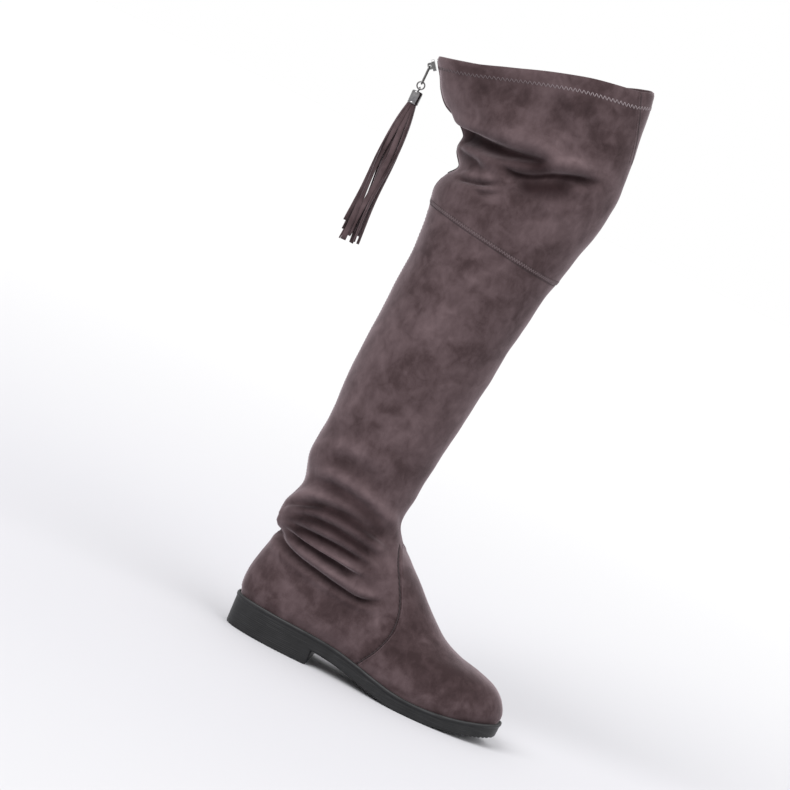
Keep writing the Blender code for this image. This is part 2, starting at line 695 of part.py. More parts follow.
def build_zip_head(name, rows, edges, below_end, material):
    """A slider near the upper end of a zip; gives the middle of its eye."""
    end, out = zip_place(rows[-1], edges)
    lower, _ = zip_place(rows[-3], edges)
    along = (end - lower).normalized()
    out = (out - along * out.dot(along)).normalized()
    return build_slider(name, end - along * below_end, along, out, material)


def build_boot():
    build_upper()
    outsole = build_outsole()
    add_boolean(outsole, build_heel(), "UNION")
    build_insole()
    build_zip("back_zip", BACK_SLOT, BACK_EDGES, {0}, COIL)
    build_zip("inner_zip", INNER_SLOT, INNER_EDGES, {0, len(INNER_SLOT) - 1}, INNER_COIL)


def build_hardware():
    down = Vector((0, 0, -1))
    forward = Vector((1, 0, 0))
    inward = Vector((0, 1, 0))
    pivot = build_zip_head("back_zip_slider", BACK_SLOT, BACK_EDGES, BACK_SLIDER_BELOW, SLIDER_METAL)
    inner_pivot = build_zip_head(
        "inner_zip_slider", INNER_SLOT, INNER_EDGES, INNER_SLIDER_BELOW, INNER_SLIDER_METAL)
    hang(build_pull("back_zip_pull", pivot, inward, down, PULL_METAL), pivot)
    hang(build_pull("inner_zip_pull", inner_pivot, forward, down, INNER_PULL_METAL), inner_pivot)
    ring_middle = pivot + down * (PULL_LENGTH + RING_RADIUS - WIRE - RING_WIRE - GAP)
    ring_path = circle(ring_middle, forward, down, RING_RADIUS, RING_STEPS)
    hang(add_hoop("pull_ring", ring_path, RING_WIRE, RING_METAL), pivot)
    cap_top = ring_middle + down * (RING_RADIUS - 2 * RING_WIRE - GAP + 2 * CAP_EYE_RADIUS - EYE_SUNK)
    hang(build_cap(cap_top), pivot)
    hang(build_tassel(cap_top), pivot)


build_boot()
build_hardware()
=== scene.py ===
import math
from collections import namedtuple

import bmesh
import bpy
import numpy as np
from mathutils import Matrix, Vector, noise


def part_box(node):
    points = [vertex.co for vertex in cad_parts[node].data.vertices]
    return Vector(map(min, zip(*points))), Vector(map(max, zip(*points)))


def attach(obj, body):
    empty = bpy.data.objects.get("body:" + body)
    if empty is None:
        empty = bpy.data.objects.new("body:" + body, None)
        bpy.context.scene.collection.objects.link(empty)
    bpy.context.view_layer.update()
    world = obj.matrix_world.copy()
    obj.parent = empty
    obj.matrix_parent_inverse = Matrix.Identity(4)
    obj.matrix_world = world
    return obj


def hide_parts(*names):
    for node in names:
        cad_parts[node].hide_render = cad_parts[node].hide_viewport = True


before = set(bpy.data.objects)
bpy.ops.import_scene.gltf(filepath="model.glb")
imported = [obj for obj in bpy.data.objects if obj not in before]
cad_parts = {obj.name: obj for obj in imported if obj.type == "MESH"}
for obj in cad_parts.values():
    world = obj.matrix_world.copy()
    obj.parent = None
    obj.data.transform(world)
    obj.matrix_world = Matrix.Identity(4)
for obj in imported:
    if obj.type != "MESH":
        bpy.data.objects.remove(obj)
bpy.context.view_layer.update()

# Sizes are in millimetres. Stations run forward from the back of the sole, heights run up from the floor.
MM = 0.001
HEEL_CENTRE = 41.0
HEEL_LENGTH = 82.0
HEEL_TOP = 17.0
HEEL_END = 5.0
HEEL_AT = 40.0
WAIST_AT = 108.0
BALL_AT = 182.0
TOE_AT = 250.0
ANKLE_HEIGHT = 140.0
TOE_SWING = 4.0
SWING_START = 140.0
SWING_LENGTH = 120.0
WALL = 1.8
PANEL_LAP = 0.7
HEM_DEPTH = 11.0
# The collar's edge turns over in steps, and leans as the upper does a few rows below it
COLLAR_TURNS = np.linspace(0.2, math.pi, 6)
EDGE_ROW = -4
COLLAR_WAVE = (
    (-40, 0.0), (-12, -1.6), (20, 0.2), (60, 2.8), (92, 3.0), (116, 0.6), (134, -1.5), (150, -0.6))
COLLAR_WAVE_REACH = 70.0
NEAR_SIDE = (-10.0, 30.0)
FAR_SIDE = (4.0, 18.0)
FAR_RIM_RISE = 1.7
FAR_RIM_AT = 132.0
FAR_RIM_WIDTH = 20.0
FAR_RIM_REACH = 40.0
TURNED_HEM_DEPTHS = (2.0, 5.0, 9.0, 14.0)
LINING_GAP = 0.5
LINING_TOP = 9.0
ZIP_SLOT = 6.0
BACK_ZIP_FOOT = 441.0
INNER_ZIP_FOOT = 66.4
INNER_ZIP_TOP = 291.2
# Where folds begin and are full again: beside each zip, and below and above the inner one
BACK_ZIP_CLEAR = (4.0, 18.0)
INNER_ZIP_CLEAR = (4.0, 13.0)
INNER_FOOT_CLEAR = (58.0, 64.0)
INNER_TOP_CLEAR = (294.0, 302.0)
BACK_FOOT_CLEAR = (BACK_ZIP_FOOT - 25.0, BACK_ZIP_FOOT - 5.0)

SoleLine = namedtuple("SoleLine", "station feather underside")
SOLE_LINE = [
    SoleLine(0, 28.0, 15.5),
    SoleLine(40, 27.4, 15.0),
    SoleLine(84, 26.0, 13.8),
    SoleLine(106, 23.8, 11.4),
    SoleLine(126, 20.2, 7.6),
    SoleLine(146, 16.2, 3.4),
    SoleLine(162, 13.6, 0.6),
    SoleLine(172, 12.6, 0.0),
    SoleLine(196, 12.4, 0.0),
    SoleLine(208, 13.2, 0.7),
    SoleLine(228, 15.8, 3.1),
    SoleLine(246, 19.4, 6.6),
    SoleLine(264, 23.8, 10.8),
]

# Lasted foot from the sole's edge (rise 0) to the ankle (rise 1)
FootSection = namedtuple(
    "FootSection", "rise back front heel waist_out waist_in ball_out ball_in square_heel square_toe")
FOOT_SECTIONS = [
    FootSection(0.000, 3.2, 258.5, 38.0, 33.5, 26.0, 45.0, 43.5, 2.50, 2.30),
    FootSection(0.022, 2.4, 259.2, 38.5, 34.2, 26.8, 45.6, 44.0, 2.50, 2.30),
    FootSection(0.065, 0.9, 259.0, 40.2, 36.0, 29.5, 46.8, 45.4, 2.50, 2.32),
    FootSection(0.130, 0.2, 256.0, 41.0, 37.0, 31.6, 47.2, 46.2, 2.46, 2.35),
    FootSection(0.195, 0.4, 251.0, 41.2, 37.2, 33.2, 47.0, 46.2, 2.42, 2.35),
    FootSection(0.262, 1.4, 242.0, 40.8, 37.0, 34.6, 46.2, 45.8, 2.40, 2.35),
    FootSection(0.320, 2.8, 227.0, 40.4, 36.8, 35.2, 45.0, 44.8, 2.38, 2.32),
    FootSection(0.366, 4.0, 207.0, 40.0, 36.6, 35.6, 43.4, 43.4, 2.35, 2.30),
    FootSection(0.435, 6.0, 187.0, 39.6, 36.6, 36.0, 41.0, 41.0, 2.30, 2.25),
    FootSection(0.535, 9.2, 169.5, 39.4, 37.0, 36.4, 39.5, 39.5, 2.25, 2.20),
    FootSection(0.600, 10.6, 159.5, 40.0, 38.0, 37.4, 39.0, 39.0, 2.20, 2.15),
    FootSection(0.690, 5.0, 147.0, 42.0, 39.6, 39.0, 39.0, 39.0, 2.15, 2.10),
    FootSection(0.815, 5.0, 128.5, 42.0, 40.4, 40.0, 40.0, 40.0, 2.10, 2.10),
    FootSection(0.915, 8.5, 114.5, 41.0, 40.4, 40.0, 40.0, 40.0, 2.10, 2.10),
    FootSection(1.000, 11.5, 107.0, 40.4, 40.4, 40.2, 40.2, 40.2, 2.10, 2.10),
]

# Worn shaft up to the collar; each section tilts from z_back to z_front
ShaftSection = namedtuple("ShaftSection", "z_back z_front back front half_out half_in square")
SHAFT_SECTIONS = [
    ShaftSection(170, 172, 5.5, 107.5, 42.0, 42.0, 2.10),
    ShaftSection(203, 207, 8.0, 111.5, 45.0, 45.0, 2.10),
    ShaftSection(241, 245, 6.5, 116.5, 48.0, 48.0, 2.10),
    ShaftSection(290, 293, 8.0, 122.0, 51.0, 51.0, 2.10),
    ShaftSection(338, 338, 10.0, 127.5, 52.5, 52.5, 2.10),
    ShaftSection(378, 370, 11.0, 132.2, 52.5, 52.5, 2.10),
    ShaftSection(408, 389, 8.0, 135.9, 52.0, 52.0, 2.10),
    ShaftSection(416, 399, 6.8, 138.6, 53.0, 53.0, 2.10),
    ShaftSection(430, 421, 6.0, 144.2, 54.0, 54.0, 2.10),
    ShaftSection(441, 441, 10.0, 148.8, 53.5, 53.5, 2.10),
    ShaftSection(452, 459, 16.5, 152.4, 52.5, 52.5, 2.15),
    ShaftSection(466, 477, 8.5, 154.5, 52.0, 52.0, 2.15),
    ShaftSection(479, 494, 8.0, 154.5, 50.5, 50.5, 2.20),
    ShaftSection(488, 509, -2.0, 153.5, 50.0, 50.0, 2.20),
    ShaftSection(496, 525, -16.5, 151.5, 49.5, 49.5, 2.20),
    ShaftSection(507, 542, -26.5, 149.0, 49.0, 49.0, 2.20),
    ShaftSection(519, 563, -34.0, 146.5, 48.5, 48.5, 2.20),
    ShaftSection(530, 582, -41.0, 144.0, 48.0, 48.0, 2.20),
]
ANKLE_SEAM_SECTION = 10
KNEE_SEAM_SECTION = len(FOOT_SECTIONS) + 6
SHAFT_TOP_SECTION = len(FOOT_SECTIONS) + 4

SeamPlace = namedtuple("SeamPlace", "height station")
VAMP_SEAM = [
    SeamPlace(22, 125),
    SeamPlace(42, 136),
    SeamPlace(62, 141),
    SeamPlace(80, 138.5),
    SeamPlace(97, 130.5),
    SeamPlace(114, 120.5),
    SeamPlace(130, 113),
]
VAMP_PLACES = 26

# Grooves of the seams with their dark lines, and the swelling of the cloth beside some of them
Groove = namedtuple("Groove", "depth width mark mark_width")
VAMP_GROOVE = Groove(0.9, 1.3, 1.0, 1.1)
ANKLE_GROOVE = Groove(1.0, 0.9, 0.8, 0.8)
KNEE_GROOVE = Groove(0.3, 0.7, 0.36, 0.6)
HEM_GROOVE = Groove(0.0, 1.0, 0.16, 0.8)
BACK_GROOVE = Groove(0.6, 0.9, 0.7, 0.8)
Lip = namedtuple("Lip", "rise at width")
VAMP_LIP = Lip(0.5, 3.4, 2.2)
KNEE_LIP = Lip(0.35, 3.0, 3.0)
BACK_LIP = Lip(0.35, 2.4, 1.5)
VAMP_LAP_WIDTH = 14.0
VAMP_OVER_ANKLE = 50.0
VAMP_END_FADE = 3.0
COUNTER_FADE = (10.0, 26.0)
COUNTER_LAP = 0.5 * PANEL_LAP
COUNTER_STEP = (-0.5, 0.9)
HEM_LAP = 0.3 * PANEL_LAP
HEM_STEP = (-3.0, 3.0)
EDGE_DRAW = 0.9
EDGE_DRAW_STEP = (-2.2, 0.0)
BACK_SEAM_END = (BACK_ZIP_FOOT - 4.0, BACK_ZIP_FOOT)

FRONT_SEAM = ((134, 579), (138.5, 566), (144, 550), (148.8, 533), (152, 518))

# Creases and puffs of the worn upper. Each follows (station, height) places on the outer side, the inner side
# or both. A crease sinks by its depth, a puff has a depth below zero; crest is the swelling above it and sag
# how far the cloth above hangs over it.
Fold = namedtuple("Fold", "side line depth width crest sag")
OUTER, INNER, BOTH = (1,), (-1,), (1, -1)
OPEN_BELOW = 1.35
DEEPEST = 13.0
FULL_SHADE_DEPTH = 6.0
KNEE_FADE = 22.0
ANKLE_FADE = 26.0
NEAR_BACK = 12.0
BELOW_KNEE = 60.0
KNEE_FADE_SHARE = 3.0
ANKLE_FADE_SHARE = 2.8
# In widths of a fold: its crest, the lower crest under it, the sag, the painted shade in it, the painted
# highlight on the crest above it
END_WIDTH = 0.75
CREST_AT = 1.7
CREST_WIDTH = 1.1
LOWER_CREST = 0.5
LOWER_AT = 2.3
LOWER_WIDTH = 1.3
SAG_AT = 0.9
SHADE_AT = 0.4
SHADE_WIDTH = 1.15
CREST_HIGHLIGHT_AT = 1.8
FOLDS = [
    # behind and beside the knee
    Fold(BOTH, ((2, 479), (14, 481), (36, 483), (57, 485.5), (76, 488.5), (100, 493)), 11.5, 7.6, 4.4, 3.4),
    Fold(OUTER, ((44, 471), (54, 470), (66, 471), (80, 475), (97, 484), (111, 489), (126, 492), (140, 489)),
         7.6, 5.2, 3.8, 2.8),
    Fold(INNER, ((36, 468), (60, 471), (84, 479), (106, 486), (128, 488)), 6.0, 5.8, 2.8, 2.0),
    Fold(OUTER, ((58, 465), (80, 467), (98, 475), (114, 481), (127, 483)), 6.0, 9.0, 1.0, 0.0),
    Fold(BOTH, ((6, 466), (18, 464), (32, 464), (46, 466)), 5.4, 6.0, 2.0, 0.8),
    Fold(OUTER, ((18, 444), (34, 447), (48, 451), (60, 456)), 3.6, 3.8, 2.0, 1.6),
    Fold(INNER, ((20, 447), (40, 449), (62, 455)), 3.0, 4.0, 1.6, 1.0),
    Fold(OUTER, ((38, 440), (50, 443), (63, 449)), 2.6, 3.2, 1.2, 0.9),
    Fold(OUTER, ((92, 454), (100, 447), (104, 438)), 1.8, 6.0, 0.5, 0.0),
    Fold(OUTER, ((22, 467), (45, 471), (66, 479), (89, 488), (111, 498)), -3.4, 5.2, 0.0, 0.0),
    Fold(INNER, ((16, 472), (40, 476), (64, 478)), -2.6, 4.6, 0.0, 0.0),
    Fold(BOTH, ((10, 503), (40, 503), (72, 505), (100, 508)), -3.6, 12.0, 0.0, 0.0),
    Fold(OUTER, ((60, 545), (84, 530), (104, 508)), 2.0, 8.0, 0.8, 0.0),
    Fold(OUTER, ((96, 545), (116, 528), (130, 508)), 1.6, 7.0, 0.8, 0.0),
    Fold(INNER, ((50, 540), (80, 524), (108, 506)), 1.8, 8.0, 0.8, 0.0),
    # fan of creases at the ankle
    Fold(BOTH, ((10, 95), (16, 91), (35, 85), (58, 81), (81, 77), (98, 75), (114, 78), (124, 84)),
         5.0, 5.0, 3.6, 2.2),
    Fold(BOTH, ((11, 97), (26, 98), (44, 97), (64, 95), (84, 93), (102, 92)), 5.0, 4.8, 3.6, 0.8),
    Fold(BOTH, ((11, 102), (26, 107), (44, 109), (64, 109), (84, 107), (106, 104)), 6.2, 5.2, 4.4, 0.8),
    Fold(OUTER, ((9, 108), (22, 116), (38, 121), (56, 122), (74, 120), (92, 117), (110, 112)),
         6.4, 5.6, 4.6, 0.8),
    Fold(INNER, ((8, 105), (24, 111), (40, 118), (72, 131)), 4.4, 5.0, 2.8, 0.8),
    Fold(OUTER, ((8, 118), (22, 128), (38, 134), (56, 136), (74, 134), (92, 130), (108, 125)),
         5.8, 6.0, 4.0, 0.6),
    Fold(INNER, ((6, 124), (30, 130), (58, 138), (84, 150)), 3.0, 5.6, 1.8, 0.5),
    Fold(OUTER, ((22, 150), (40, 154), (58, 153), (76, 148), (94, 140), (110, 131)), 4.8, 6.4, 3.4, 0.4),
    Fold(INNER, ((58, 150), (80, 141), (98, 132)), 2.8, 5.0, 1.6, 0.4),
    Fold(OUTER, ((14, 171), (36, 178), (60, 177), (86, 166)), 2.6, 8.5, 1.6, 0.0),
    Fold(OUTER, ((10, 186), (26, 204), (44, 222)), 1.2, 10.0, 0.6, 0.0),
]

# Places where the nap of the outer side is darker or lighter, with their half sizes round and up. Most follow
# the brushing of the nap; the dark patches on the vamp are painted shade and the light ones on the puffs
# below the main knee fold are painted highlights.
Nap = namedtuple("Nap", "station height round up tone")
NAP_LIMITS = (-1.7, 1.2)
# Strength of the painted highlight on the fold crests, at the ankle and at the knee
ANKLE_CREST_HIGHLIGHT = 3.2
KNEE_CREST_HIGHLIGHT = 1.1
NAP_PATCHES = [
    # calf
    Nap(28, 372, 8, 8, -0.8), Nap(47, 346, 22, 5, -0.8), Nap(60, 365, 10, 13, -1.0),
    Nap(102, 356, 10, 11, -1.0), Nap(96, 334, 8, 7, -0.9), Nap(53, 262, 16, 9, -1.1),
    Nap(53, 282, 4, 4, -0.8), Nap(55, 198, 9, 9, -1.0), Nap(50, 217, 6, 13, -1.0),
    Nap(20, 211, 7, 8, -0.7), Nap(100, 249, 7, 18, -1.0), Nap(94, 225, 5, 6, -0.9),
    Nap(53, 236, 9, 6, -0.8), Nap(63, 381, 5, 6, -0.8), Nap(16, 240, 4, 10, -0.7),
    Nap(76, 370, 8, 8, 1.0), Nap(58, 317, 22, 17, 0.9), Nap(30, 290, 15, 15, 0.8),
    Nap(37, 224, 7, 13, 0.9), Nap(51, 246, 5, 4, 0.8), Nap(72, 214, 10, 7, 0.8),
    Nap(82, 233, 6, 8, 0.8),
    # above the knee, with painted highlights on the puffs below the main fold
    Nap(101, 544, 12, 11, -1.1), Nap(15, 522, 6, 5, -0.8), Nap(79, 515, 9, 9, -0.9),
    Nap(136, 532, 6, 14, -0.9), Nap(99, 448, 7, 12, -1.1), Nap(121, 422, 13, 14, -1.1),
    Nap(57, 434, 13, 5, -0.9), Nap(75, 433, 9, 5, -0.8), Nap(110, 548, 60, 22, -0.35),
    Nap(63, 520, 14, 7, 0.9), Nap(58, 478, 20, 3.6, 0.8), Nap(90, 489, 18, 4.5, 0.2),
    Nap(102, 474, 16, 6, -0.8), Nap(99, 513, 13, 9, 0.9), Nap(125, 553, 6, 13, 0.9),
    Nap(116, 466, 13, 12, 0.6), Nap(87, 430, 9, 9, 0.8), Nap(61, 409, 14, 9, 0.7),
    Nap(85, 468, 62, 38, 0.35),
    # heel and vamp; the dark patches on the vamp are painted shade
    Nap(32, 41, 6, 2.6, 0.8), Nap(42, 44.5, 6, 2.6, 0.8), Nap(52, 48, 6, 2.6, 0.8),
    Nap(14, 62, 8, 14, 0.4), Nap(66, 58, 62, 28, -0.35), Nap(196, 48, 68, 46, -1.7),
    Nap(150, 112, 30, 30, -0.5), Nap(45, 63, 14, 9, -0.6), Nap(78, 50, 16, 9, -0.6),
    Nap(100, 47, 11, 9, 0.5), Nap(150, 94, 16, 14, -0.9), Nap(176, 56, 26, 16, -0.9),
    Nap(204, 44, 22, 14, -0.7), Nap(168, 26, 24, 6, 0.6), Nap(216, 28, 18, 6, 0.5),
]

# Columns of the upper: across the back strip, round the outer side and toe, across the inner zip, and back
COLUMN_COUNTS = (6, 132, 4, 42)
BACK_COLUMNS = (0, COLUMN_COUNTS[0])
BACK_MIDDLE = COLUMN_COUNTS[0] // 2
INNER_COLUMNS = (sum(COLUMN_COUNTS[:2]), sum(COLUMN_COUNTS[:3]))
INNER_MIDDLE = sum(INNER_COLUMNS) // 2
# Rows of the upper: steps up the foot, the shaft and the knee, and close steps beside each seam
FOOT_STEP = 1.5
SHAFT_STEP = 2.6
KNEE_STEP = 1.4
SEAM_STEP = 0.4
SEAM_REACH = 2.8
MERGE = 1e-6
# Between grid points: least area that a place can be measured in, and the furthest share of a step from one
LEAST_SPREAD = 0.5
FURTHEST = 0.7
# Soft cloth and the ragged edges of the nap: strength and size of each unevenness
CLOTH_WAVER = ((0.75, 34.0), (0.3, 15.0))
NAP_RAGGED = ((1.0, 11.0), (0.6, 5.0))
RAGGED_SHARE = 0.5
# How soft the cloth is on the foot, and what the shaft and then the knee add within a distance
FOOT_SOFT = 0.35
SHAFT_SOFT = 0.65
SHAFT_SOFT_WITHIN = 30.0
KNEE_SOFT = 0.6
KNEE_SOFT_WITHIN = 20.0


def curve_through(knots, values, at):
    """Smooth curve through table values; each slope comes from the neighbouring rows."""
    knots = np.asarray(knots, float)
    values = np.asarray(values, float)
    at = np.atleast_1d(np.asarray(at, float))
    slopes = np.gradient(values, knots, axis=0)
    low = np.clip(np.searchsorted(knots, at, side="right") - 1, 0, len(knots) - 2)
    shape = (-1,) + (1,) * (values.ndim - 1)
    span = (knots[low + 1] - knots[low]).reshape(shape)
    t = ((at - knots[low]) / (knots[low + 1] - knots[low])).reshape(shape)
    start = (1 + 2 * t) * (1 - t) ** 2 * values[low] + t * (1 - t) ** 2 * span * slopes[low]
    end = t * t * (3 - 2 * t) * values[low + 1] + t * t * (t - 1) * span * slopes[low + 1]
    return start + end


def ease(value, low, high):
    """Smooth step from 0 at low to 1 at high."""
    t = np.clip((value - low) / (high - low), 0.0, 1.0)
    return t * t * (3 - 2 * t)


def hump(value, width):
    """Soft bump of height 1 where value is 0."""
    return np.exp(-(value / width) ** 2)


def unit(vectors):
    """Directions of vectors, each of length 1."""
    return vectors / np.maximum(np.linalg.norm(vectors, axis=-1, keepdims=True), 1e-9)


def run_along(points):
    """Distance along a line of points at each of them."""
    return np.concatenate([[0.0], np.cumsum(np.linalg.norm(np.diff(points, axis=0), axis=1))])


def at_run(run, points, at):
    """Points at distances along a line."""
    return np.stack([np.interp(at, run, column) for column in points.T], axis=-1)


def feather(station):
    """Height of the edge where the upper meets the sole."""
    return curve_through([r.station for r in SOLE_LINE], [r.feather for r in SOLE_LINE], station)


def underside(station):
    """Height of the sole's underside in front of the heel."""
    line = curve_through([r.station for r in SOLE_LINE], [r.underside for r in SOLE_LINE], station)
    return np.maximum(line, 0.0)


def swing(station):
    """How far the forefoot turns inward."""
    ahead = np.clip((station - SWING_START) / SWING_LENGTH, 0.0, None)
    return TOE_SWING * ahead * ahead


def rounded_loop(back, front, square_back, square_front, angles):
    """Stations round a section and their share of its half width."""
    cosine = np.cos(angles)
    power = np.where(cosine > 0, 2.0 / square_back, 2.0 / square_front)
    station = (back + front) / 2 - (front - back) / 2 * np.sign(cosine) * np.abs(cosine) ** power
    return station, np.abs(np.sin(angles)) ** power


def foot_loop(section, angles):
    """Points of a foot section; angle 0 is the back, a quarter turn the outer side."""
    station, share = rounded_loop(
        section.back, section.front, section.square_heel, section.square_toe, angles)
    places = [HEEL_END, HEEL_AT, WAIST_AT, BALL_AT, TOE_AT]
    measured = np.clip(station, HEEL_END, TOE_AT)
    outer_half = [section.heel, section.heel, section.waist_out, section.ball_out, section.ball_out]
    inner_half = [section.heel, section.heel, section.waist_in, section.ball_in, section.ball_in]
    outer = curve_through(places, outer_half, measured)
    inner = curve_through(places, inner_half, measured)
    width = np.where(np.sin(angles) > 0, -outer, inner) * share
    edge = feather(station)
    height = edge + (ANKLE_HEIGHT - edge) * section.rise
    return np.stack([station, width + swing(station) * (1 - section.rise), height], axis=-1)


def shaft_loop(section, angles):
    """Points of a shaft section, which rises from its back to its front."""
    station, share = rounded_loop(section.back, section.front, section.square, section.square, angles)
    width = np.where(np.sin(angles) > 0, -section.half_out, section.half_in) * share
    forward = (station - section.back) / (section.front - section.back)
    height = section.z_back + (section.z_front - section.z_back) * forward
    return np.stack([station, width, height], axis=-1)


def even_angles(loop, section, half_width, square_back, square_side):
    """Angles evenly spaced along a section's loop between the edges of the two zip slots."""
    half_length = (section.front - section.back) / 2
    back = math.asin((ZIP_SLOT / 2 / half_width) ** (square_back / 2))
    side = math.asin((ZIP_SLOT / 2 / half_length) ** (square_side / 2))
    stops = [-back, back, 1.5 * math.pi - side, 1.5 * math.pi + side, 2 * math.pi - back]
    angles = []
    for start, end, count in zip(stops[:-1], stops[1:], COLUMN_COUNTS):
        fine = np.linspace(start, end, 8 * count + 1)
        run = run_along(loop(section, fine))
        angles.append(np.interp(np.linspace(0.0, run[-1], count, endpoint=False), run, fine))
    return np.concatenate(angles + [[stops[-1]]])


def section_rings():
    """All sections from the sole up, with the same number of points each."""
    rings = []
    for s in FOOT_SECTIONS:
        rings.append(foot_loop(s, even_angles(foot_loop, s, s.heel, s.square_heel, s.square_toe)))
    for s in SHAFT_SECTIONS:
        rings.append(shaft_loop(s, even_angles(shaft_loop, s, s.half_out, s.square, s.square)))
    return np.array(rings)


def outward(points):
    """Outward direction at each point of closed rows whose last column repeats the first."""
    ring = points[:, :-1]
    around = np.roll(ring, -1, axis=1) - np.roll(ring, 1, axis=1)
    normal = unit(np.cross(around, np.gradient(ring, axis=0)))
    return np.concatenate([normal, normal[:, :1]], axis=1)


def skin_rows(knots, seams):
    """Row places up the upper: close in the ankle and knee, wider on the smooth shaft, closest at seams."""
    shaft_foot = knots[len(FOOT_SECTIONS)]
    shaft_top = knots[SHAFT_TOP_SECTION]
    rows = list(np.arange(0.0, shaft_foot, FOOT_STEP))
    rows += list(np.arange(shaft_foot, shaft_top, SHAFT_STEP))
    rows += list(np.arange(shaft_top, knots[-1] - 1.0, KNEE_STEP))
    near = np.arange(-SEAM_REACH, SEAM_REACH + 0.01, SEAM_STEP)
    rows = [r for r in rows if min(abs(r - s) for s in seams) > SEAM_REACH + 0.3]
    rows += [s + n for s in seams for n in near] + [knots[-1]]
    return np.array(sorted(rows))


RINGS = section_rings()
KNOTS = np.concatenate([[0.0], np.cumsum(np.linalg.norm(np.diff(RINGS, axis=0), axis=2).mean(axis=1))])
ANKLE = KNOTS[ANKLE_SEAM_SECTION]
KNEE = (KNOTS[KNEE_SEAM_SECTION] + KNOTS[KNEE_SEAM_SECTION + 1]) / 2
COLLAR = KNOTS[-1]
HEM = COLLAR - HEM_DEPTH
ROWS = skin_rows(KNOTS, [ANKLE, KNEE, HEM])
LAST = curve_through(KNOTS, RINGS, ROWS)
STATION, ACROSS, HEIGHT = np.moveaxis(LAST, 2, 0)
UP = np.repeat(ROWS[:, None], LAST.shape[1], axis=1)
STEPS = np.linalg.norm(np.diff(LAST, axis=1), axis=2)
RUN = np.concatenate([np.zeros((len(ROWS), 1)), np.cumsum(STEPS, axis=1)], axis=1)
ROUND = RUN[:, -1:]
# Distance round from the back: forward on the outer side, below zero on the inner side
OUTER_RUN = RUN - RUN[:, BACK_MIDDLE:BACK_MIDDLE + 1]
INNER_RUN = OUTER_RUN - ROUND
ON_OUTER = (OUTER_RUN >= 0) & (OUTER_RUN < ROUND / 2)
FROM_BACK = np.minimum(np.abs(OUTER_RUN), np.abs(INNER_RUN))
FROM_INNER_ZIP = np.abs(RUN - RUN[:, INNER_MIDDLE:INNER_MIDDLE + 1])


def unrolled(side, line):
    """(round, up) places on the unrolled upper of (station, height) places on one side."""
    run = OUTER_RUN if side > 0 else INNER_RUN
    usable = ON_OUTER if side > 0 else OUTER_RUN >= ROUND / 2
    places = []
    for station, height in line:
        miss = (STATION - station) ** 2 + (HEIGHT - height) ** 2 + np.where(usable, 0.0, 1e9)
        i, j = np.unravel_index(np.argmin(miss), miss.shape)
        i = min(max(i, 1), len(ROWS) - 2)
        j = min(max(j, 1), LAST.shape[1] - 2)
        column = (LAST[i, j + 1] - LAST[i, j - 1])[[0, 2]] / 2
        row = (LAST[i + 1, j] - LAST[i - 1, j])[[0, 2]] / 2
        spread = column[0] * row[1] - column[1] * row[0]
        rest = np.array([station, height]) - LAST[i, j, [0, 2]]
        aside = rise = 0.0
        if abs(spread) > LEAST_SPREAD:
            aside = (rest[0] * row[1] - rest[1] * row[0]) / spread
            rise = (column[0] * rest[1] - column[1] * rest[0]) / spread
        aside, rise = (min(max(share, -FURTHEST), FURTHEST) for share in (aside, rise))
        further = (run[i, j + 1] - run[i, j - 1]) / 2 * aside + (run[i + 1, j] - run[i - 1, j]) / 2 * rise
        places.append((run[i, j] + further, ROWS[i] + (ROWS[i + 1] - ROWS[i - 1]) / 2 * rise))
    return np.array(places)


def smooth_line(places, step=3.0):
    """A denser, smooth version of a line of places."""
    run = run_along(places)
    return curve_through(run, places, np.linspace(0.0, run[-1], max(3, int(run[-1] / step))))


def measure(side, places):
    """Distance of every point of the upper from a line, above it or below, and how far along it lies."""
    run = OUTER_RUN if side > 0 else INNER_RUN
    best = np.full(run.shape, 1e9)
    above, along = np.zeros((2,) + run.shape)
    total = 0.0
    for a, b in zip(places[:-1], places[1:]):
        length = np.linalg.norm(b - a)
        lead = (b - a) / length
        t = np.clip((run - a[0]) * lead[0] + (UP - a[1]) * lead[1], 0.0, length)
        gap_up = UP - a[1] - t * lead[1]
        gap = np.hypot(run - a[0] - t * lead[0], gap_up)
        nearer = gap < best
        best = np.where(nearer, gap, best)
        above = np.where(nearer, np.where(gap_up >= 0, gap, -gap), above)
        along = np.where(nearer, total + t, along)
        total += length
    return best, above, along, total


def clear_of_zips():
    """1 where folds may run, 0 along the two zips."""
    beside_back = ease(FROM_BACK, *BACK_ZIP_CLEAR)
    in_back = ease(HEIGHT, *BACK_FOOT_CLEAR)
    beside_inner = ease(FROM_INNER_ZIP, *INNER_ZIP_CLEAR)
    in_inner = ease(HEIGHT, *INNER_FOOT_CLEAR) * (1 - ease(HEIGHT, *INNER_TOP_CLEAR))
    return (1 - (1 - beside_back) * in_back) * (1 - (1 - beside_inner) * in_inner)


